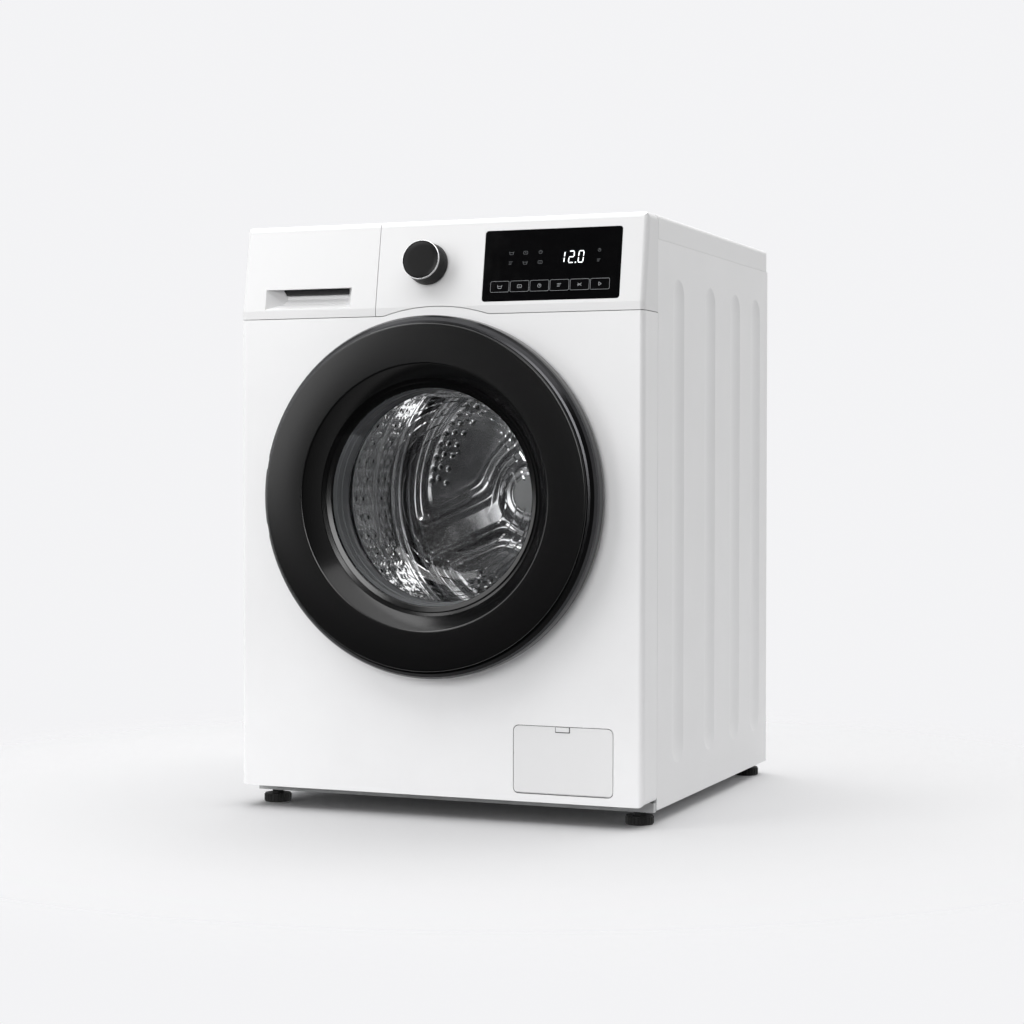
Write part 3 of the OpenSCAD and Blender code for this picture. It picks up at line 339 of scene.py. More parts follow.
def build_materials():
    black = (0.0024, 0.0024, 0.0026)
    return {
        "white_enamel": enamel("white_enamel", 0.85),
        "panel_enamel": enamel("panel_enamel", 0.84),
        "white_plastic": moulded(
            "white_plastic", (0.77, 0.77, 0.775), 0.34, 0.000004, spread=0.006, grain=0.2
        ),
        "worktop_laminate": moulded(
            "worktop_laminate", (0.84, 0.84, 0.845), 0.42, 0.00002, spread=0.006, grain=0.2
        ),
        "grey_plastic": moulded("grey_plastic", (0.55, 0.555, 0.56)),
        "tray_plastic": moulded("tray_plastic", (0.66, 0.68, 0.7), 0.3),
        "black_satin": moulded("black_satin", black, 0.18, 0.000004),
        "black_gloss": gloss("black_gloss", 0.002, 0.05, (0.05, 0.09), 0.000002),
        "key_black": gloss("key_black", 0.0024, 0.02, (0.06, 0.1), 0.000001),
        "knob_black": surface(
            "knob_black", (0.0035, 0.0035, 0.0038), 0.1, 0.01, (0.3, 0.36), 0.000004, 0.001,
            Specular_IOR_Level=0.16,
        ),
        "dark_chrome": metal("dark_chrome", (0.04, 0.04, 0.042), 0.16, 0.000004),
        "seal_slate": moulded("seal_slate", (0.13, 0.135, 0.14), 0.36),
        "dark_grey": moulded("dark_grey", (0.035, 0.036, 0.038), 0.42),
        "door_glass": clear_glass("door_glass"),
        "stainless": polished_steel("stainless"),
        "drum_wall_steel": drum_wall_steel("drum_wall_steel"),
        "zinc_steel": metal("zinc_steel", (0.5, 0.51, 0.52), 0.28, 0.00004),
        "bright_ring": metal("bright_ring", (0.78, 0.78, 0.79), 0.12, 0.000004),
        "cast_alloy": metal("cast_alloy", (0.42, 0.43, 0.44), 0.42, 0.00015, fine=0.003),
        "rubber_grey": rubber("rubber_grey", (0.03, 0.031, 0.033)),
        "rubber_black": rubber("rubber_black", (0.008, 0.008, 0.008)),
        "tub_plastic": moulded("tub_plastic", (0.3, 0.31, 0.32), 0.45, 0.00008),
        "concrete": speckled_concrete("concrete"),
        "motor_dark": moulded("motor_dark", (0.02, 0.021, 0.023), 0.38),
        "board_green": circuit_board("board_green"),
        "cap_blue": moulded("cap_blue", (0.02, 0.08, 0.2), 0.35),
        "digit_white": glowing("digit_white", (0.9, 0.93, 0.95), 1.3),
        # Painted light: mark_grey glows as the highlight on the keys' edges and on the printed key symbols;
        # mark_faint makes the unlit printed symbols of the display glow faintly.
        "mark_grey": glowing("mark_grey", (0.25, 0.26, 0.27), 0.25),
        "mark_faint": glowing("mark_faint", (0.06, 0.065, 0.07), 0.08),
        "hole_dark": moulded("hole_dark", (0.01, 0.01, 0.011), 0.5),
    }


def paint_cad():
    for node, obj in NODES.items():
        material = MATERIALS[SLOT_OF[node]]
        if not obj.material_slots:
            obj.data.materials.append(material)
        for slot in obj.material_slots:
            slot.material = material


# ---- door ----


def door_face():
    """The flat black ring, its sloping inner side and the bands round the window."""
    front, rim, step = -45.0, 235.6, 1.6
    profile = [(148.6, -13.5)] + arc((150.4, -15.6), 1.8, 180, 262, 6)
    profile += [(156.2, -19.3)]
    profile += arc((157.0, -20.6), 1.4, 120, 215, 5)[::-1]
    profile += arc((163.2, -22.6), step, 150, 218, 5)
    profile += [(180.4, -43.2)]
    profile += arc((182.6, -41.6), 3.4, 222, 270, 6)
    profile += [(232.6, front)]
    profile += arc((233.4, front + 2.2), 2.2, 270, 360, 8)
    profile += [(rim, front + 8.5), (rim - 2.6, front + 8.5), (rim - 2.6, front + 2.8)]
    profile += [(184, front + 2.8), (166.5, -20.5), (172, -20.5), (172, -17.3), (150.4, -17.3)]
    face = lathe("door_face_ring", profile, 320, sharp=28)
    return dress(face, "black_satin", "door", ["door_outer_frame"])


def window_seal():
    """The slate band lining the window's mouth, with its fine steps."""
    profile = [(147.0, 33.0), (147.3, 26.0), (146.6, 25.2), (146.9, 12.0), (147.6, 11.0), (147.4, -4.0)]
    profile += [(148.0, -5.0), (148.2, -12.6), (148.5, -13.4), (148.5, 8.0), (147.6, 33.0)]
    seal = lathe("window_seal", profile, 256, sharp=28)
    # A bright metal bead inside the band: a painted highlight standing in for the glint along the glass's
    # rim.
    profile = [(145.5, 29.4), (145.2, 30.2), (145.5, 31.0), (146.3, 30.8), (146.3, 29.6)]
    dress(lathe("window_rim_glint", profile, 256), "bright_ring", "door")
    return dress(seal, "seal_slate", "door")


# ---- drum ----


COLUMNS = 104  # embossed cells round the wall
BANDS = [(92.0, 218.0, 9), (226.0, 304.0, 6), (320.0, 368.0, 4)]  # first y, last y, rows of cells
RIDGES = [(222.0, 2.0), (311.0, 3.6), (379.0, 3.0), (403.0, 3.0)]  # y and height of each rolled ridge
WALL_END = 427.5
SHEET = 0.8
SQUARE = [(-1, -1), (-1, 0), (-1, 1), (0, 1), (1, 1), (1, 0), (1, -1), (0, -1)]  # steps round a cell
# Rings of a cell, from its edge inwards: share of its half width, and height towards the axis
CELL_RINGS = {
    "hole": [(0.62, 0.0), (0.5, -1.0), (0.3, -1.6)],
    "pearl": [(0.8, 0.0), (0.55, 1.5), (0.25, 2.1)],
}
PEARL_TOP = 2.2


def square_turn(k):
    """Direction of the point SQUARE[k] on a round ring."""
    return math.radians(225 + 45 * k)


def cell(points, faces, column, low, high, kind):
    """One embossed cell of the drum's wall: a drain hole in a dish, or a raised pearl."""
    rings = CELL_RINGS[kind]
    middle = (low + high) / 2
    half = ((high - low) / 2, math.pi * DRUM_R / COLUMNS)
    size = min(half)
    angle = TURN * (column + 0.5) / COLUMNS
    base = len(points)
    for dy, da in SQUARE:
        points.append(around(DRUM_R, angle + da * half[1] / DRUM_R, middle + dy * half[0]))
    for share, lift in rings:
        for k in range(8):
            across = math.cos(square_turn(k)) * share * size
            along = math.sin(square_turn(k)) * share * size
            points.append(around(DRUM_R - lift, angle + across / DRUM_R, middle + along))
    for ring in range(len(rings)):
        a, b = base + 8 * ring, base + 8 * (ring + 1)
        faces.extend((a + k, a + (k + 1) % 8, b + (k + 1) % 8, b + k) for k in range(8))
    if kind == "pearl":
        points.append(around(DRUM_R - PEARL_TOP, angle, middle))
        last = base + 8 * len(rings)
        faces.extend((last + k, last + (k + 1) % 8, len(points) - 1) for k in range(8))


def plain_strip(points, faces, profile):
    """A smooth stretch of the wall between two bands, as (radius, y) points."""
    base, steps = len(points), 2 * COLUMNS
    points.extend(around(r, TURN * j / steps, y) for r, y in profile for j in range(steps))
    faces.extend(tuple(base + v for v in f) for f in loop_faces(len(profile), steps, False))


def half_cell(points, faces, column, low, high):
    """The flat filler at the end of a staggered column."""
    base = len(points)
    for y in (low, high):
        points.extend(around(DRUM_R, TURN * (column + s) / COLUMNS, y) for s in (0, 0.5, 1))
    faces.extend([(base, base + 1, base + 4, base + 3), (base + 1, base + 2, base + 5, base + 4)])


def ridge_profile(y0, y1):
    """Radius along a plain stretch, with its rolled ridges."""
    count = max(2, round((y1 - y0) / 1.5))
    ys = [y0 + (y1 - y0) * i / count for i in range(count + 1)]
    lift = [sum(h * math.exp(-(((y - c) / 3.0) ** 2)) for c, h in RIDGES) for y in ys]
    lift[0] = lift[-1] = 0.0
    return [(DRUM_R - h, y) for y, h in zip(ys, lift)]


def drum_wall():
    """The drum's perforated wall with its front ring and rolled lip."""
    points, faces = [], []
    lip = [(160.6, 65.6), (160.0, 67.5), (160.8, 69.8), (163.0, 70.9), (232.0, 71.2)]
    lip += arc((232.0, 79.2), 8.0, 270, 360, 7)[1:] + [(DRUM_R, BANDS[0][0])]
    plain_strip(points, faces, lip)
    for index, (y0, y1, rows) in enumerate(BANDS):
        height = (y1 - y0) / rows
        for column in range(COLUMNS):
            odd = column % 2
            start = y0 + odd * height / 2
            for row in range(rows - odd):
                kind = "hole" if (row + column // 2) % 2 and not odd else "pearl"
                cell(points, faces, column, start + row * height, start + (row + 1) * height, kind)
            if odd:
                half_cell(points, faces, column, y0, start)
                half_cell(points, faces, column, y1 - height / 2, y1)
        next_y = BANDS[index + 1][0] if index + 1 < len(BANDS) else WALL_END
        plain_strip(points, faces, ridge_profile(y1, next_y))
    wall = mesh_object("drum_perforated_wall", points, faces, 60.0)
    thicken(wall, SHEET, -1.0)
    return dress(wall, "drum_wall_steel", "drum", ["drum_shell"])


# Radius and y of the plain drum back, from the hub to the seam with the wall
BACK_PROFILE = [
    (27, 358), (30, 361), (44, 363), (60, 384), (90, 388.5),
    (150, 396), (205, 400), (228, 412), (239.2, 427.4),
]
ARM_ANGLES = (83.0, -37.0, -157.0)  # channels between the pressed pockets, as the spider's arms
ARM_HALF, POCKET_R, POCKET_CORNER = 24, (66, 213), 7.0
HOLE_ARCS = ((182, 11, 0.0), (168, 10, 0.5), (154, 9, 0.0))  # radius, holes, stagger
HOLE_SPAN, HOLE_R, HOLE_DISH = 62, 2.5, 0.9


def profile_y(r):
    """Depth of the plain drum back at radius r."""
    for (r0, y0), (r1, y1) in zip(BACK_PROFILE, BACK_PROFILE[1:]):
        if r <= r1:
            t = (r - r0) / (r1 - r0)
            return y0 + (y1 - y0) * t
    return BACK_PROFILE[-1][1]


def pocket_depth(r, degrees):
    """How far inside the nearest pocket's outline a point lies, in millimetres."""
    centre = min((a + 60 for a in ARM_ANGLES), key=lambda c: abs((degrees - c + 180) % 360 - 180))
    t = math.radians((degrees - centre + 180) % 360 - 180)
    sixty = math.radians(60)
    arms = (r * math.sin(sixty - t) - ARM_HALF, r * math.sin(sixty + t) - ARM_HALF)
    sides = (*arms, POCKET_R[1] - r, r - POCKET_R[0])
    return -POCKET_CORNER * math.log(sum(math.exp(-s / POCKET_CORNER) for s in sides))


def smooth(t):
    """Rises from 0 to 1 without a kink."""
    t = min(1.0, max(0.0, t))
    return t * t * (3 - 2 * t)


def emboss(depth):
    """Height towards the door of the pressed pockets, from the depth inside their outline."""
    outer = 5.5 * math.exp(-((depth / 6.0) ** 2))
    step = -4.0 * smooth((depth - 3) / 8)
    inner = 5.0 * math.exp(-(((depth - 25) / 5.0) ** 2))
    panel = 3.0 * smooth((depth - 27) / 8)
    return outer + step + inner + panel


def back_holes(radii, steps):
    """Grid places of the drain holes: three arcs in each pocket."""
    places = set()
    for arm in ARM_ANGLES:
        for radius, count, shift in HOLE_ARCS:
            row = min(range(len(radii)), key=lambda i: abs(radii[i] - radius))
            for k in range(count):
                share = (k + shift / 2) / (count - 1 + shift)
                degrees = arm + 60 - HOLE_SPAN / 2 + HOLE_SPAN * share
                places.add((row, round(degrees / 360 * steps) % steps))
    return places


def open_holes(grid, radii, steps):
    """Pulls the grid round each drain hole into a dished ring; gives the quads inside it."""
    gone = set()
    for row, column in back_holes(radii, steps):
        middle = grid[row * steps + column]
        gone.update((row + di, (column + dj) % steps) for di in (-1, 0) for dj in (-1, 0))
        for k, (di, dj) in enumerate(SQUARE):
            target = grid[(row + di) * steps + (column + dj) % steps]
            target[0] = middle[0] + HOLE_R * math.sin(square_turn(k))
            target[1] = middle[1] + HOLE_R * math.cos(square_turn(k)) / middle[0]
            target[2] = middle[2] + HOLE_DISH
    return gone


def drum_back_plate():
    """The pressed back of the drum, with pockets, ridges and open drain holes."""
    steps, rows = 360, 72
    inner, outer = BACK_PROFILE[0][0], BACK_PROFILE[-1][0]
    radii = [inner + (outer - inner) * (i / (rows - 1)) ** 0.92 for i in range(rows)]
    grid = []
    for r in radii:
        edge = smooth((r - 56) / 12) * smooth((226 - r) / 10)
        for j in range(steps):
            degrees = 360 * j / steps
            lift = emboss(pocket_depth(r, degrees)) * edge
            grid.append([r, math.radians(degrees), profile_y(r) - lift])
    gone = open_holes(grid, radii, steps)
    points = [around(r, a, y) for r, a, y in grid]
    quads = loop_faces(rows, steps, False)
    faces = [quads[i * steps + j] for i in range(rows - 1) for j in range(steps) if (i, j) not in gone]
    used = sorted({v for f in faces for v in f})
    index = {v: n for n, v in enumerate(used)}
    faces = [tuple(index[v] for v in f) for f in faces]
    plate = mesh_object("drum_back_plate", [points[v] for v in used], faces, 60.0)
    thicken(plate, 0.9, 1.0)
    return dress(plate, "stainless", "drum", ["drum_back"])


def drum_hub():
    """The plain disc that covers the shaft's bolt."""
    profile = [(0.01, 356.6), (20, 356.8), (25.5, 357.4), (27.2, 359.0), (27.2, 361.0), (0.01, 361.0)]
    hub = lathe("drum_hub_cap", profile, 96)
    return dress(hub, "grey_plastic", "drum")


# ---- soft and flexible pieces ----


def gasket():
    """Rubber bellows between the cabinet and the tub."""
    outside = [(163, -4), (160.6, 0), (157.4, 6), (157.0, 12), (158.4, 17), (162, 19.4), (169.6, 20.4)]
    outside += [(177, 21), (179.6, 24), (180, 29), (178, 34), (173.4, 37.4), (172.2, 42), (172.2, 54)]
    inside = [(175, 54), (175, 42), (176.4, 39), (181.4, 35.6), (183, 30), (182.8, 23), (179, 18)]
    inside += [(169, 17.2), (163, 16.4), (160.4, 13.4), (160.4, 8), (162.4, 4.4), (170, 4.2)]
    clamp_lip = [(170, 1.5), (164.7, 1.5), (164.7, -0.3), (170, -0.3), (170, -3), (165, -4.5)]
    bellows = lathe("door_bellows", outside + inside + clamp_lip, 192, sharp=50)
    dress(bellows, "rubber_grey", None, ["door_gasket"])
    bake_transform(bellows)


def springs():
    """Four helical springs that carry the tub."""
    low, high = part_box("suspension_springs")
    z0, z1 = low.z / MM, high.z / MM
    turns, per_turn, wire, coil_r, end_gap = 15, 18, 1.45, 10.4, 9
    for side, x in (("left", low.x / MM + 12), ("right", high.x / MM - 12)):
        for end, y in (("front", 150), ("rear", 400)):
            path = [place(x, y, z0 + wire)]
            for i in range(turns * per_turn + 1):
                a = TURN * i / per_turn
                z = z0 + end_gap + (z1 - z0 - 2 * end_gap) * i / (turns * per_turn)
                path.append(place(x + coil_r * math.cos(a), y + coil_r * math.sin(a), z))
            path.append(place(x, y, z1 - wire))
            coil = sweep(f"spring_{end}_{side}", path, wire * MM, 8)
            dress(coil, "zinc_steel", None, ["suspension_springs"])
            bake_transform(coil)


def extent(points):
    """Lowest and highest corner round some points."""
    return [Vector([pick(p[axis] for p in points) for axis in range(3)]) for pick in (min, max)]


def tub_hoses():
    """Corrugated hoses: from the dispenser down to the tub, and from the tub's sump to the pump."""
    node = NODES["tub_hoses"]
    points = [node.matrix_world @ v.co for v in node.data.vertices]
    upper, lower = ([p for p in points if (p.z > 0.4) == above] for above in (True, False))
    hoses = [("dispenser_hose", *dispenser_route(*extent(upper))), ("sump_hose", *sump_route(*extent(lower)))]
    for name, path, radius, held in hoses:
        hose = sweep(name, path, radius, 28, 0.92)
        dress(hose, SLOT_OF["tub_hoses"], None, ["tub_hoses"])
        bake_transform(hose)


def dispenser_route(low, high):
    """Straight up: its points, its radius and where the cabinet holds it."""
    x, y = (low.x + high.x) / 2, (low.y + high.y) / 2
    count = 2 * max(4, round((high.z - low.z) / (6 * MM)))
    path = [(x, y, low.z + (high.z - low.z) * i / count) for i in range(count + 1)]
    return path, (high.x - low.x) / 2, path[-1]


def sump_route(low, high):
    """Down from the sump and round one elbow to the pump, in the same terms."""
    radius, bend = (high.y - low.y) / 2, 24 * MM
    x, y, z = low.x + radius, (low.y + high.y) / 2, low.z + radius
    path = [(x, y, high.z + (z + bend - high.z) * i / 16) for i in range(16)]
    for i in range(9):
        a = math.radians(90 * i / 8)
        path.append((x + bend - bend * math.cos(a), y, z + bend - bend * math.sin(a)))
    path += [(x + bend + (high.x - x - bend) * i / 20, y, z) for i in range(1, 21)]
    return path, radius, (x, y, z + bend)


# ---- programme knob ----


LEAN_Z = 700.0  # height at which the fascia starts to lean back
LEAN = math.atan(20.0 / 120.0)
LEAN_SIN, LEAN_COS = math.sin(LEAN), math.cos(LEAN)
KNOB_X, KNOB_S = -14.0, 59.3


def on_fascia(x, out, s):
    """A point on the leaning fascia: x across, out towards the user, s up along the face."""
    return place(x, s * LEAN_SIN - out * LEAN_COS, LEAN_Z + s * LEAN_COS + out * LEAN_SIN)


def up_face(z):
    """The s of a height z on the fascia."""
    return (z - LEAN_Z) / LEAN_COS


def on_knob(r, angle, out):
    return on_fascia(KNOB_X + r * math.cos(angle), out, KNOB_S + r * math.sin(angle))


def knob_lathe(name, profile, steps, ribs=0, depth=0.0):
    """Turns (radius, out) points round the knob's axis; ribbed points carry a third value of 1."""
    points = []
    for entry in profile:
        r, out = entry[:2]
        ribbed = len(entry) > 2
        for j in range(steps):
            a = TURN * j / steps
            bite = depth * (0.5 - 0.5 * math.cos(a * ribs)) ** 2 if ribbed else 0
            points.append(on_knob(r - bite, a, out))
    return mesh_object(name, points, loop_faces(len(profile), steps, True), 40)


def knob():
    """Ribbed grip, thin bright ring and plain cap."""
    grip = [(25, 0.8), (28.4, 0.8), (29.0, 1.5, 1), (28.2, 14, 1), (27.5, 26.4, 1), (25.3, 26.5)]
    grip += [(25.2, 25.0), (20, 24.6), (0.01, 24.6), (0.01, 24.0), (24, 24.0)]
    dress(knob_lathe("knob_grip", grip, 960, 120, 0.35), "knob_black", "knob", ["knob_body"])
    ring = [(26.1, 26.6), (27.4, 26.6), (27.5, 27.3), (27.3, 28.1), (26.9, 28.6), (26.4, 28.6), (26.1, 28.1)]
    dress(knob_lathe("knob_bright_ring", ring, 192), "bright_ring", "knob", ["knob_ring"])
    cap = [(0.01, 28.3), (18, 28.25), (25.0, 28.1), (26.0, 27.6), (26.0, 26.5), (0.01, 26.5)]
    dress(knob_lathe("knob_cap_disc", cap, 192), "knob_black", "knob")


# ---- drawer and service flap ----


def drawer_gap_shade():
    """A near-black sheet over the finger recess's back wall: painted shade standing in for the dark opening
    there.
    """
    outline = [(-238, 25.5), (-140, 25.5), (-140, 38.8), (-247, 38.8)]
    behind, thickness = -18.0, 1.0
    gap = mesh_object("drawer_gap_shade", *flat_shape(outline, behind, thickness))
    dress(gap, "hole_dark", "drawer")


def rounded(low, high, radius, inset=0.0):
    """Outline of a rectangle with rounded corners, drawn in by inset."""
    right, top, left, bottom = high[0] - radius, high[1] - radius, low[0] + radius, low[1] + radius
    points = []
    for i, centre in enumerate(((right, top), (left, top), (left, bottom), (right, bottom))):
        points += arc(centre, radius - inset, 90 * i, 90 * i + 90, 5)
    return points


def slab_faces(n):
    """Faces of a slab whose n front points are followed by its n back points."""
    sides = [(i, (i + 1) % n, n + (i + 1) % n, n + i) for i in range(n)]
    return [tuple(range(n)), tuple(range(n, 2 * n))] + sides


def tablet(name, low, high, radius, front, back):
    """An upright plate with rounded corners, from (x, z) corners and y values in millimetres."""
    outline = rounded(low, high, radius)
    points = [place(x, y, z) for y in (front, back) for x, z in outline]
    return mesh_object(name, points, slab_faces(len(outline)))


def flap_tab():
    """The small push tab in the notch at the flap's upper edge."""
    low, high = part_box("filter_flap")
    pin_end, notch_x, width, top = 5.6, 60, 21, 0.2
    x, z = low.x / MM + pin_end + notch_x, high.z / MM
    # A near-black plate showing round the tab: painted shade in the gap between the tab and its notch.
    rim = tablet("flap_tab_shade_rim", (x, z - 7.6), (x + width, z - top), 1.0, -0.35, 1.2)
    dress(rim, "hole_dark", "flap")
    tab = tablet("flap_tab", (x + 0.9, z - 6.4), (x + width - 1.1, z - top), 0.8, -1.0, 1.0)
    dress(tab, "white_plastic", "flap")


# ---- display and keys ----


PRINT = 0.12  # thickness of a printed or lit mark
ON_LENS, ON_KEY = 0.05, 0.32  # how far the marks' backs stand out from the fascia
SLANT = 0.08  # of the figures
SEGMENT_GAP = 0.07  # left at a segment's ends, as a share of the figure
SEGMENTS = {"1": "bc", "2": "abged", "0": "abcdef"}
FIGURES = (("1", 176.8), ("2", 190.2), ("0", 203.8))  # each figure and its x
POINT_X = 200.2
ICON_ROWS = (770, 756.4)
ICON_COLUMNS = (107.7, 128.0, 149.7)
LAST_COLUMN = 233.5
KEY_SYMBOLS = ("basin", "frame", "clock", "stack", "cross", "play")
# Strokes of each symbol as x0, s0, x1, s1 in halves of its size
STROKES = {
    "basin": [(-1, 0.6, -0.7, -0.7), (-0.7, -0.7, 0.7, -0.7), (0.7, -0.7, 1, 0.6), (-0.8, 0.2, 0.8, 0.2)],
    "frame": [(-0.4, 0, 0.4, 0)],
    "clock": [(0, 0, 0, 0.55), (0, 0, 0.4, 0)],
    "cross": [(-0.8, -0.6, 0.8, 0.6), (-0.8, 0.6, 0.8, -0.6), (-1, 0, -0.4, 0)],
    "stack": [(-1, -0.55, 0.1, -0.55), (-1, 0, 0.4, 0), (-1, 0.55, 0.7, 0.55)],
    "play": [(-0.5, -0.7, -0.5, 0.7), (-0.5, 0.7, 0.6, 0), (0.6, 0, -0.5, -0.7)],
}
# Outline round a symbol: half width, half height and corner in halves of its size, and what is
# taken off the corner so that its arcs don't meet
OUTLINES = {"frame": (1.0, 0.7, 0.35, 0.0), "clock": (0.8, 0.8, 0.8, 0.05)}


def flat_shape(outline, out, thickness=PRINT):
    """Points and faces of a thin tablet on the fascia, from an outline in (x, s)."""
    points = [on_fascia(x, depth, s) for depth in (out, out + thickness) for x, s in outline]
    return points, slab_faces(len(outline))


def merge(shapes):
    points, faces = [], []
    for p, f in shapes:
        base = len(points)
        points.extend(p)
        faces.extend(tuple(base + v for v in face) for face in f)
    return points, faces


def bar(x0, s0, x1, s1, width, out):
    """A thin straight mark from one point to another."""
    dx, ds = x1 - x0, s1 - s0
    half = width / 2 / math.hypot(dx, ds)
    nx, ns = -ds * half, dx * half
    return flat_shape([(x0 + nx, s0 + ns), (x0 - nx, s0 - ns), (x1 - nx, s1 - ns), (x1 + nx, s1 + ns)], out)


def round_frame(low, high, radius, width, out):
    """A rounded rectangular outline of constant width."""
    rings = rounded(low, high, radius), rounded(low, high, radius, width)
    n = len(rings[0])
    points = [on_fascia(x, out + t, s) for t in (0, PRINT) for ring in rings for x, s in ring]
    faces = []
    for a, b in ((0, n), (2 * n, 3 * n), (0, 2 * n), (n, 3 * n)):
        faces += [(a + i, a + (i + 1) % n, b + (i + 1) % n, b + i) for i in range(n)]
    return points, faces


def digit(char, x, s, width, height, stroke):
    """Seven-segment figure with its lower left corner at x, s."""
    near, far = SEGMENT_GAP, 1 - SEGMENT_GAP
    below, above = 0.5 - SEGMENT_GAP, 0.5 + SEGMENT_GAP
    ends = {
        "a": (near, 1, far, 1),
        "b": (1, far, 1, above),
        "c": (1, below, 1, near),
        "d": (near, 0, far, 0),
        "e": (0, below, 0, near),
        "f": (0, far, 0, above),
        "g": (near, 0.5, far, 0.5),
    }

    def at(u, v):
        return x + u * width + v * height * SLANT, s + v * height

    shapes = []
    for name in SEGMENTS[char]:
        u0, v0, u1, v1 = ends[name]
        shapes.append(bar(*at(u0, v0), *at(u1, v1), stroke, ON_LENS))
    return shapes


def display_figures():
    """The time on the display."""
    base = up_face(754.4)
    height = up_face(769.8) - base
    shapes = []
    for char, x in FIGURES:
        shapes += digit(char, x, base, 6.8, height, 1.2)
    shapes.append(bar(POINT_X, base - 0.7, POINT_X, base + 0.9, 1.5, ON_LENS))
    figures = mesh_object("display_figures", *merge(shapes))
    dress(figures, "digit_white", "cabinet")


def icon(kind, x, s, size, out, width=0.5):
    """One small generic symbol."""
    h = size / 2
    shapes = []
    if kind in OUTLINES:
        half_x, half_s, corner, less = OUTLINES[kind]
        low, high = (x - h * half_x, s - h * half_s), (x + h * half_x, s + h * half_s)
        shapes.append(round_frame(low, high, h * corner - less, width, out))
    for x0, s0, x1, s1 in STROKES[kind]:
        shapes.append(bar(x + x0 * h, s + s0 * h, x + x1 * h, s + s1 * h, width, out))
    return shapes


def display_icons():
    """Faint printed symbols round the time, made to glow faintly as painted light."""
    shapes = []
    kinds = iter(("basin", "frame", "clock", "stack", "basin", "frame"))
    for z in ICON_ROWS:
        for x in ICON_COLUMNS:
            shapes += icon(next(kinds), x, up_face(z), 6.4, ON_LENS)
    for z, kind in zip(ICON_ROWS, ("clock", "stack")):
        shapes += icon(kind, LAST_COLUMN, up_face(z), 5.4, ON_LENS)
    dress(mesh_object("display_icons", *merge(shapes)), "mark_faint", "cabinet")


def keys():
    """A painted highlight in a fine outline round each key, for the light caught by its bevelled edge, and
    the symbol printed on it, made to glow faintly.
    """
    edge_glints = []
    s_low, s_high, half_width = 17.2, 32.4, 13.6
    for i, kind in enumerate(KEY_SYMBOLS):
        low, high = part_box(f"key_{i + 1}")
        x = (low.x + high.x) / 2 / MM
        edge_glints.append(round_frame((x - half_width, s_low), (x + half_width, s_high), 2.0, 0.34, 0.3))
        symbol = merge(icon(kind, x, (s_low + s_high) / 2, 6.6, ON_KEY, 0.55))
        dress(mesh_object(f"key_{i + 1}_symbol", *symbol), "mark_grey", f"key{i + 1}")
    dress(mesh_object("key_edge_highlights", *merge(edge_glints)), "mark_grey", "cabinet")


# ---- floor, light and camera ----


FLOOR_TONE = 0.79
FLOOR_FADE = (0.6, 1.25)  # radii between which the floor melts into the backdrop, in metres
AMBIENT = (0.02, 0.85)  # room light from the front and from the back
BACKDROP = (0.9, 0.9, 0.915)


def floor():
    """A pale disc that fades out before its edge."""
    steps, rings = 96, [0.01, 1.5, 3.0, 4.6]
    turns = [TURN * j / steps for j in range(steps)]
    points = [(r * math.cos(a), r * math.sin(a), 0) for r in rings for a in turns]
    disc = mesh_object("studio_floor", points, loop_faces(len(rings), steps, False))
    material, nodes, links, shader = new_material("studio_floor")
    where = nodes.new("ShaderNodeTexCoord")
    length = nodes.new("ShaderNodeVectorMath")
    length.operation = "LENGTH"
    links.new(where.outputs["Object"], length.inputs[0])
    fade = nodes.new("ShaderNodeMapRange")
    fade.interpolation_type = "SMOOTHSTEP"
    for socket, value in zip(("From Min", "From Max", "To Min", "To Max"), (*FLOOR_FADE, 1.0, 0.0)):
        fade.inputs[socket].default_value = value
    links.new(length.outputs["Value"], fade.inputs["Value"])
    links.new(fade.outputs["Result"], shader.inputs["Alpha"])
    shader.inputs["Base Color"].default_value = (FLOOR_TONE, FLOOR_TONE, FLOOR_TONE * 1.01, 1)
    shader.inputs["Roughness"].default_value = 0.9
    shader.inputs["Specular IOR Level"].default_value = 0.1
    disc.data.materials.append(material)
    disc.visible_glossy = False
    return disc


def softbox(name, position, target, size, radiance, along=None, seen=True):
    """A rectangular area light whose face has the given radiance; along is its long side."""
    data = bpy.data.lights.new(name, "AREA")
    data.shape = "RECTANGLE"
    data.size, data.size_y = size
    data.energy = radiance * math.pi * size[0] * size[1]
    light = bpy.data.objects.new(name, data)
    light.location = position
    aim = (Vector(target) - Vector(position)).normalized()
    if along:
        side = (Vector(along) - aim * aim.dot(Vector(along))).normalized()
        light.rotation_euler = Matrix((side, side.cross(aim), -aim)).transposed().to_euler()
    else:
        light.rotation_euler = aim.to_track_quat("-Z", "Y").to_euler()
    light.visible_camera = False
    light.visible_transmission = seen
    bpy.context.scene.collection.objects.link(light)
    return light


def light_only(light, pieces):
    """Lets a lamp light nothing but these pieces."""
    group = bpy.data.collections.new(light.name + "_receivers")
    for piece in pieces:
        group.objects.link(piece)
    light.light_linking.receiver_collection = group


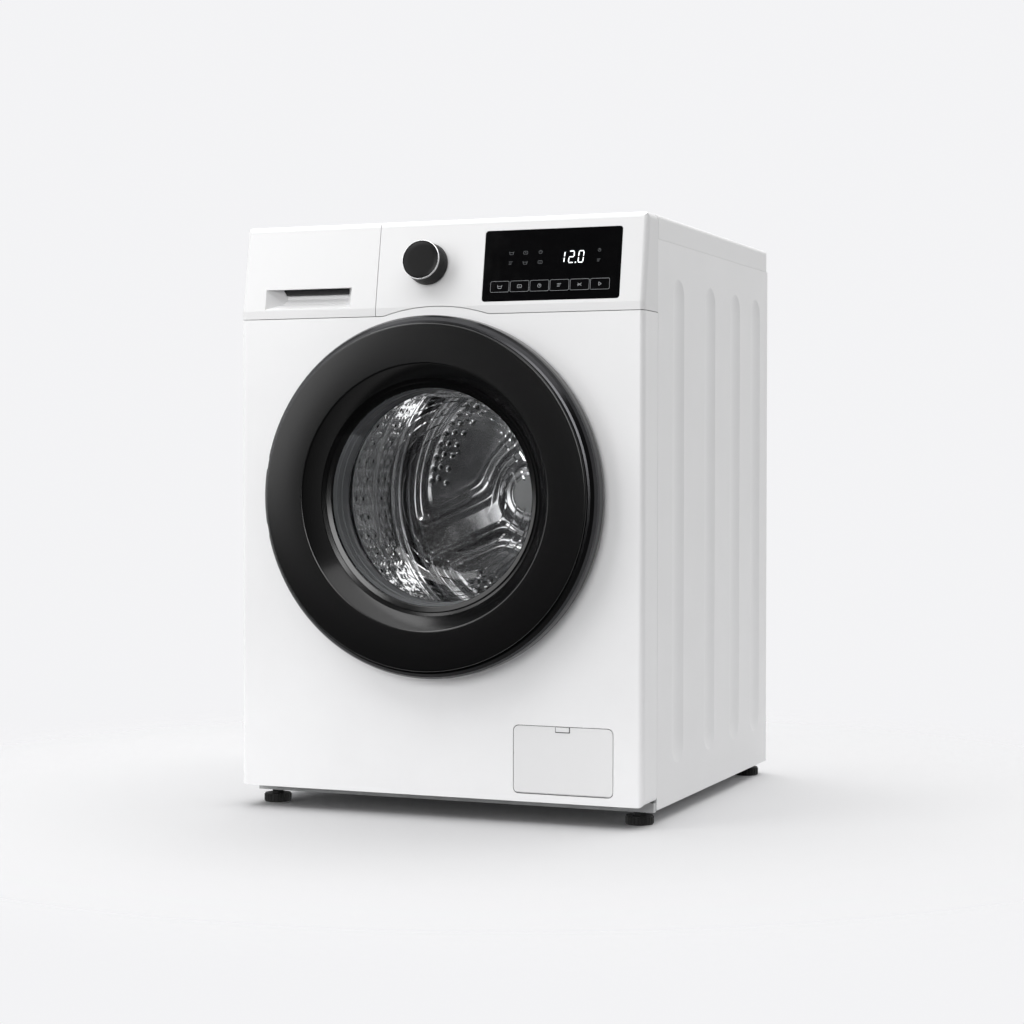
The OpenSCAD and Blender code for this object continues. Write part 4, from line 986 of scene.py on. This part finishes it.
def lights(floor_disc, cone, drum_pieces):
    """Studio lamps round the machine, and small lamps that only the window's cone and the drum get."""
    softbox("overhead", (0.1, -0.2, 3.0), (0.1, -0.2, 0), (4.4, 5.2), 1.6)
    fill = softbox("high_front", (-2.0, -1.8, 3.1), (-0.1, -0.3, 0.4), (2.6, 1.5), 3.5)
    kept_out = (floor_disc, NODES["door_glass"])
    pieces = [obj for obj in bpy.context.scene.objects if obj.type == "MESH" and obj not in kept_out]
    light_only(fill, pieces)
    left = softbox("left_front", (-2.15, -2.6, 1.3), (-0.1, -0.34, 0.5), (1.9, 1.9), 2.6)
    light_only(left, pieces + [floor_disc])
    front = softbox("front", (0.05, -4.0, 1.4), (0.0, -0.34, 0.45), (1.6, 1.6), 7.2)
    light_only(front, pieces)
    window_lamp(cone)
    drum_lamps(*drum_pieces)


def window_lamp(cone):
    """Sheen on the lower side of the window's cone."""
    spot, aim, along = place(-80, -6, AXIS_Z + 98), place(0, -30, AXIS_Z - 170), (0.77, 0, 0.64)
    light_only(softbox("window_glow", spot, aim, (0.2, 0.06), 3.0, along, False), cone)


def drum_lamps(wall, plate, hub, lifters):
    """Highlights on the drum's wall and back, each as name, spot, aim, size, radiance and pieces."""
    high, low = AXIS_Z + 110, AXIS_Z - 110
    every, back = [wall, plate, hub, lifters], [plate, hub]
    lamps = [
        ("drum_top", (-70, 150, AXIS_Z + 170), (60, 330, AXIS_Z - 60), (0.14, 0.05), 8.0, every),
        ("wall_high", (-174, 394, high), (-186, 280, AXIS_Z + 152), (0.05, 0.035), 2.2, [wall]),
        ("wall_low", (-174, 394, low), (-186, 280, AXIS_Z - 152), (0.05, 0.035), 2.2, [wall]),
        ("plate_fill", (-100, 106, AXIS_Z), (-20, 390, AXIS_Z), (0.26, 0.34), 0.25, back),
        ("plate_glow", (-184, 160, AXIS_Z - 42), (-93, 392, AXIS_Z - 47), (0.1, 0.08), 2.6, back),
    ]
    for name, spot, aim, size, radiance, pieces in lamps:
        light_only(softbox(name, place(*spot), place(*aim), size, radiance, seen=False), pieces)


def world():
    """Pale backdrop for the camera; a dark front and a bright back for everything else."""
    sky = bpy.data.worlds.new("studio")
    bpy.context.scene.world = sky
    sky.use_nodes = True
    nodes, links = sky.node_tree.nodes, sky.node_tree.links
    nodes.clear()
    where = nodes.new("ShaderNodeTexCoord")
    split = nodes.new("ShaderNodeSeparateXYZ")
    links.new(where.outputs["Generated"], split.inputs["Vector"])
    ramp = nodes.new("ShaderNodeMapRange")
    ramp.interpolation_type = "SMOOTHSTEP"
    for socket, value in zip(("From Min", "From Max", "To Min", "To Max"), (-0.6, 0.5, *AMBIENT)):
        ramp.inputs[socket].default_value = value
    links.new(split.outputs["Y"], ramp.inputs["Value"])
    ambient = nodes.new("ShaderNodeBackground")
    links.new(ramp.outputs["Result"], ambient.inputs["Color"])
    backdrop = nodes.new("ShaderNodeBackground")
    backdrop.inputs["Color"].default_value = (*BACKDROP, 1)
    path = nodes.new("ShaderNodeLightPath")
    mix = nodes.new("ShaderNodeMixShader")
    links.new(path.outputs["Is Camera Ray"], mix.inputs[0])
    links.new(ambient.outputs[0], mix.inputs[1])
    links.new(backdrop.outputs[0], mix.inputs[2])
    output = nodes.new("ShaderNodeOutputWorld")
    links.new(mix.outputs[0], output.inputs["Surface"])


def camera():
    """Three-quarter product view from a low stand, with a long lens."""
    data = bpy.data.cameras.new("camera")
    data.lens, data.sensor_width = 77.88, 36.0
    data.clip_end = 50
    obj = bpy.data.objects.new("camera", data)
    obj.location = (1.2231, -3.0624, 0.4806)
    obj.rotation_euler = (math.radians(90 - 1.15), math.radians(-0.07), math.radians(21.83))
    bpy.context.scene.collection.objects.link(obj)
    bpy.context.scene.camera = obj


bpy.context.scene.view_settings.view_transform = "Standard"
MATERIALS = build_materials()
paint_cad()
camera()
world()
floor_disc = floor()
cone = [door_face(), window_seal()]
drum_pieces = [drum_wall(), drum_back_plate(), drum_hub(), NODES["drum_lifters"]]
gasket()
springs()
tub_hoses()
drawer_gap_shade()
flap_tab()
knob()
display_figures()
display_icons()
keys()
lights(floor_disc, cone, drum_pieces)
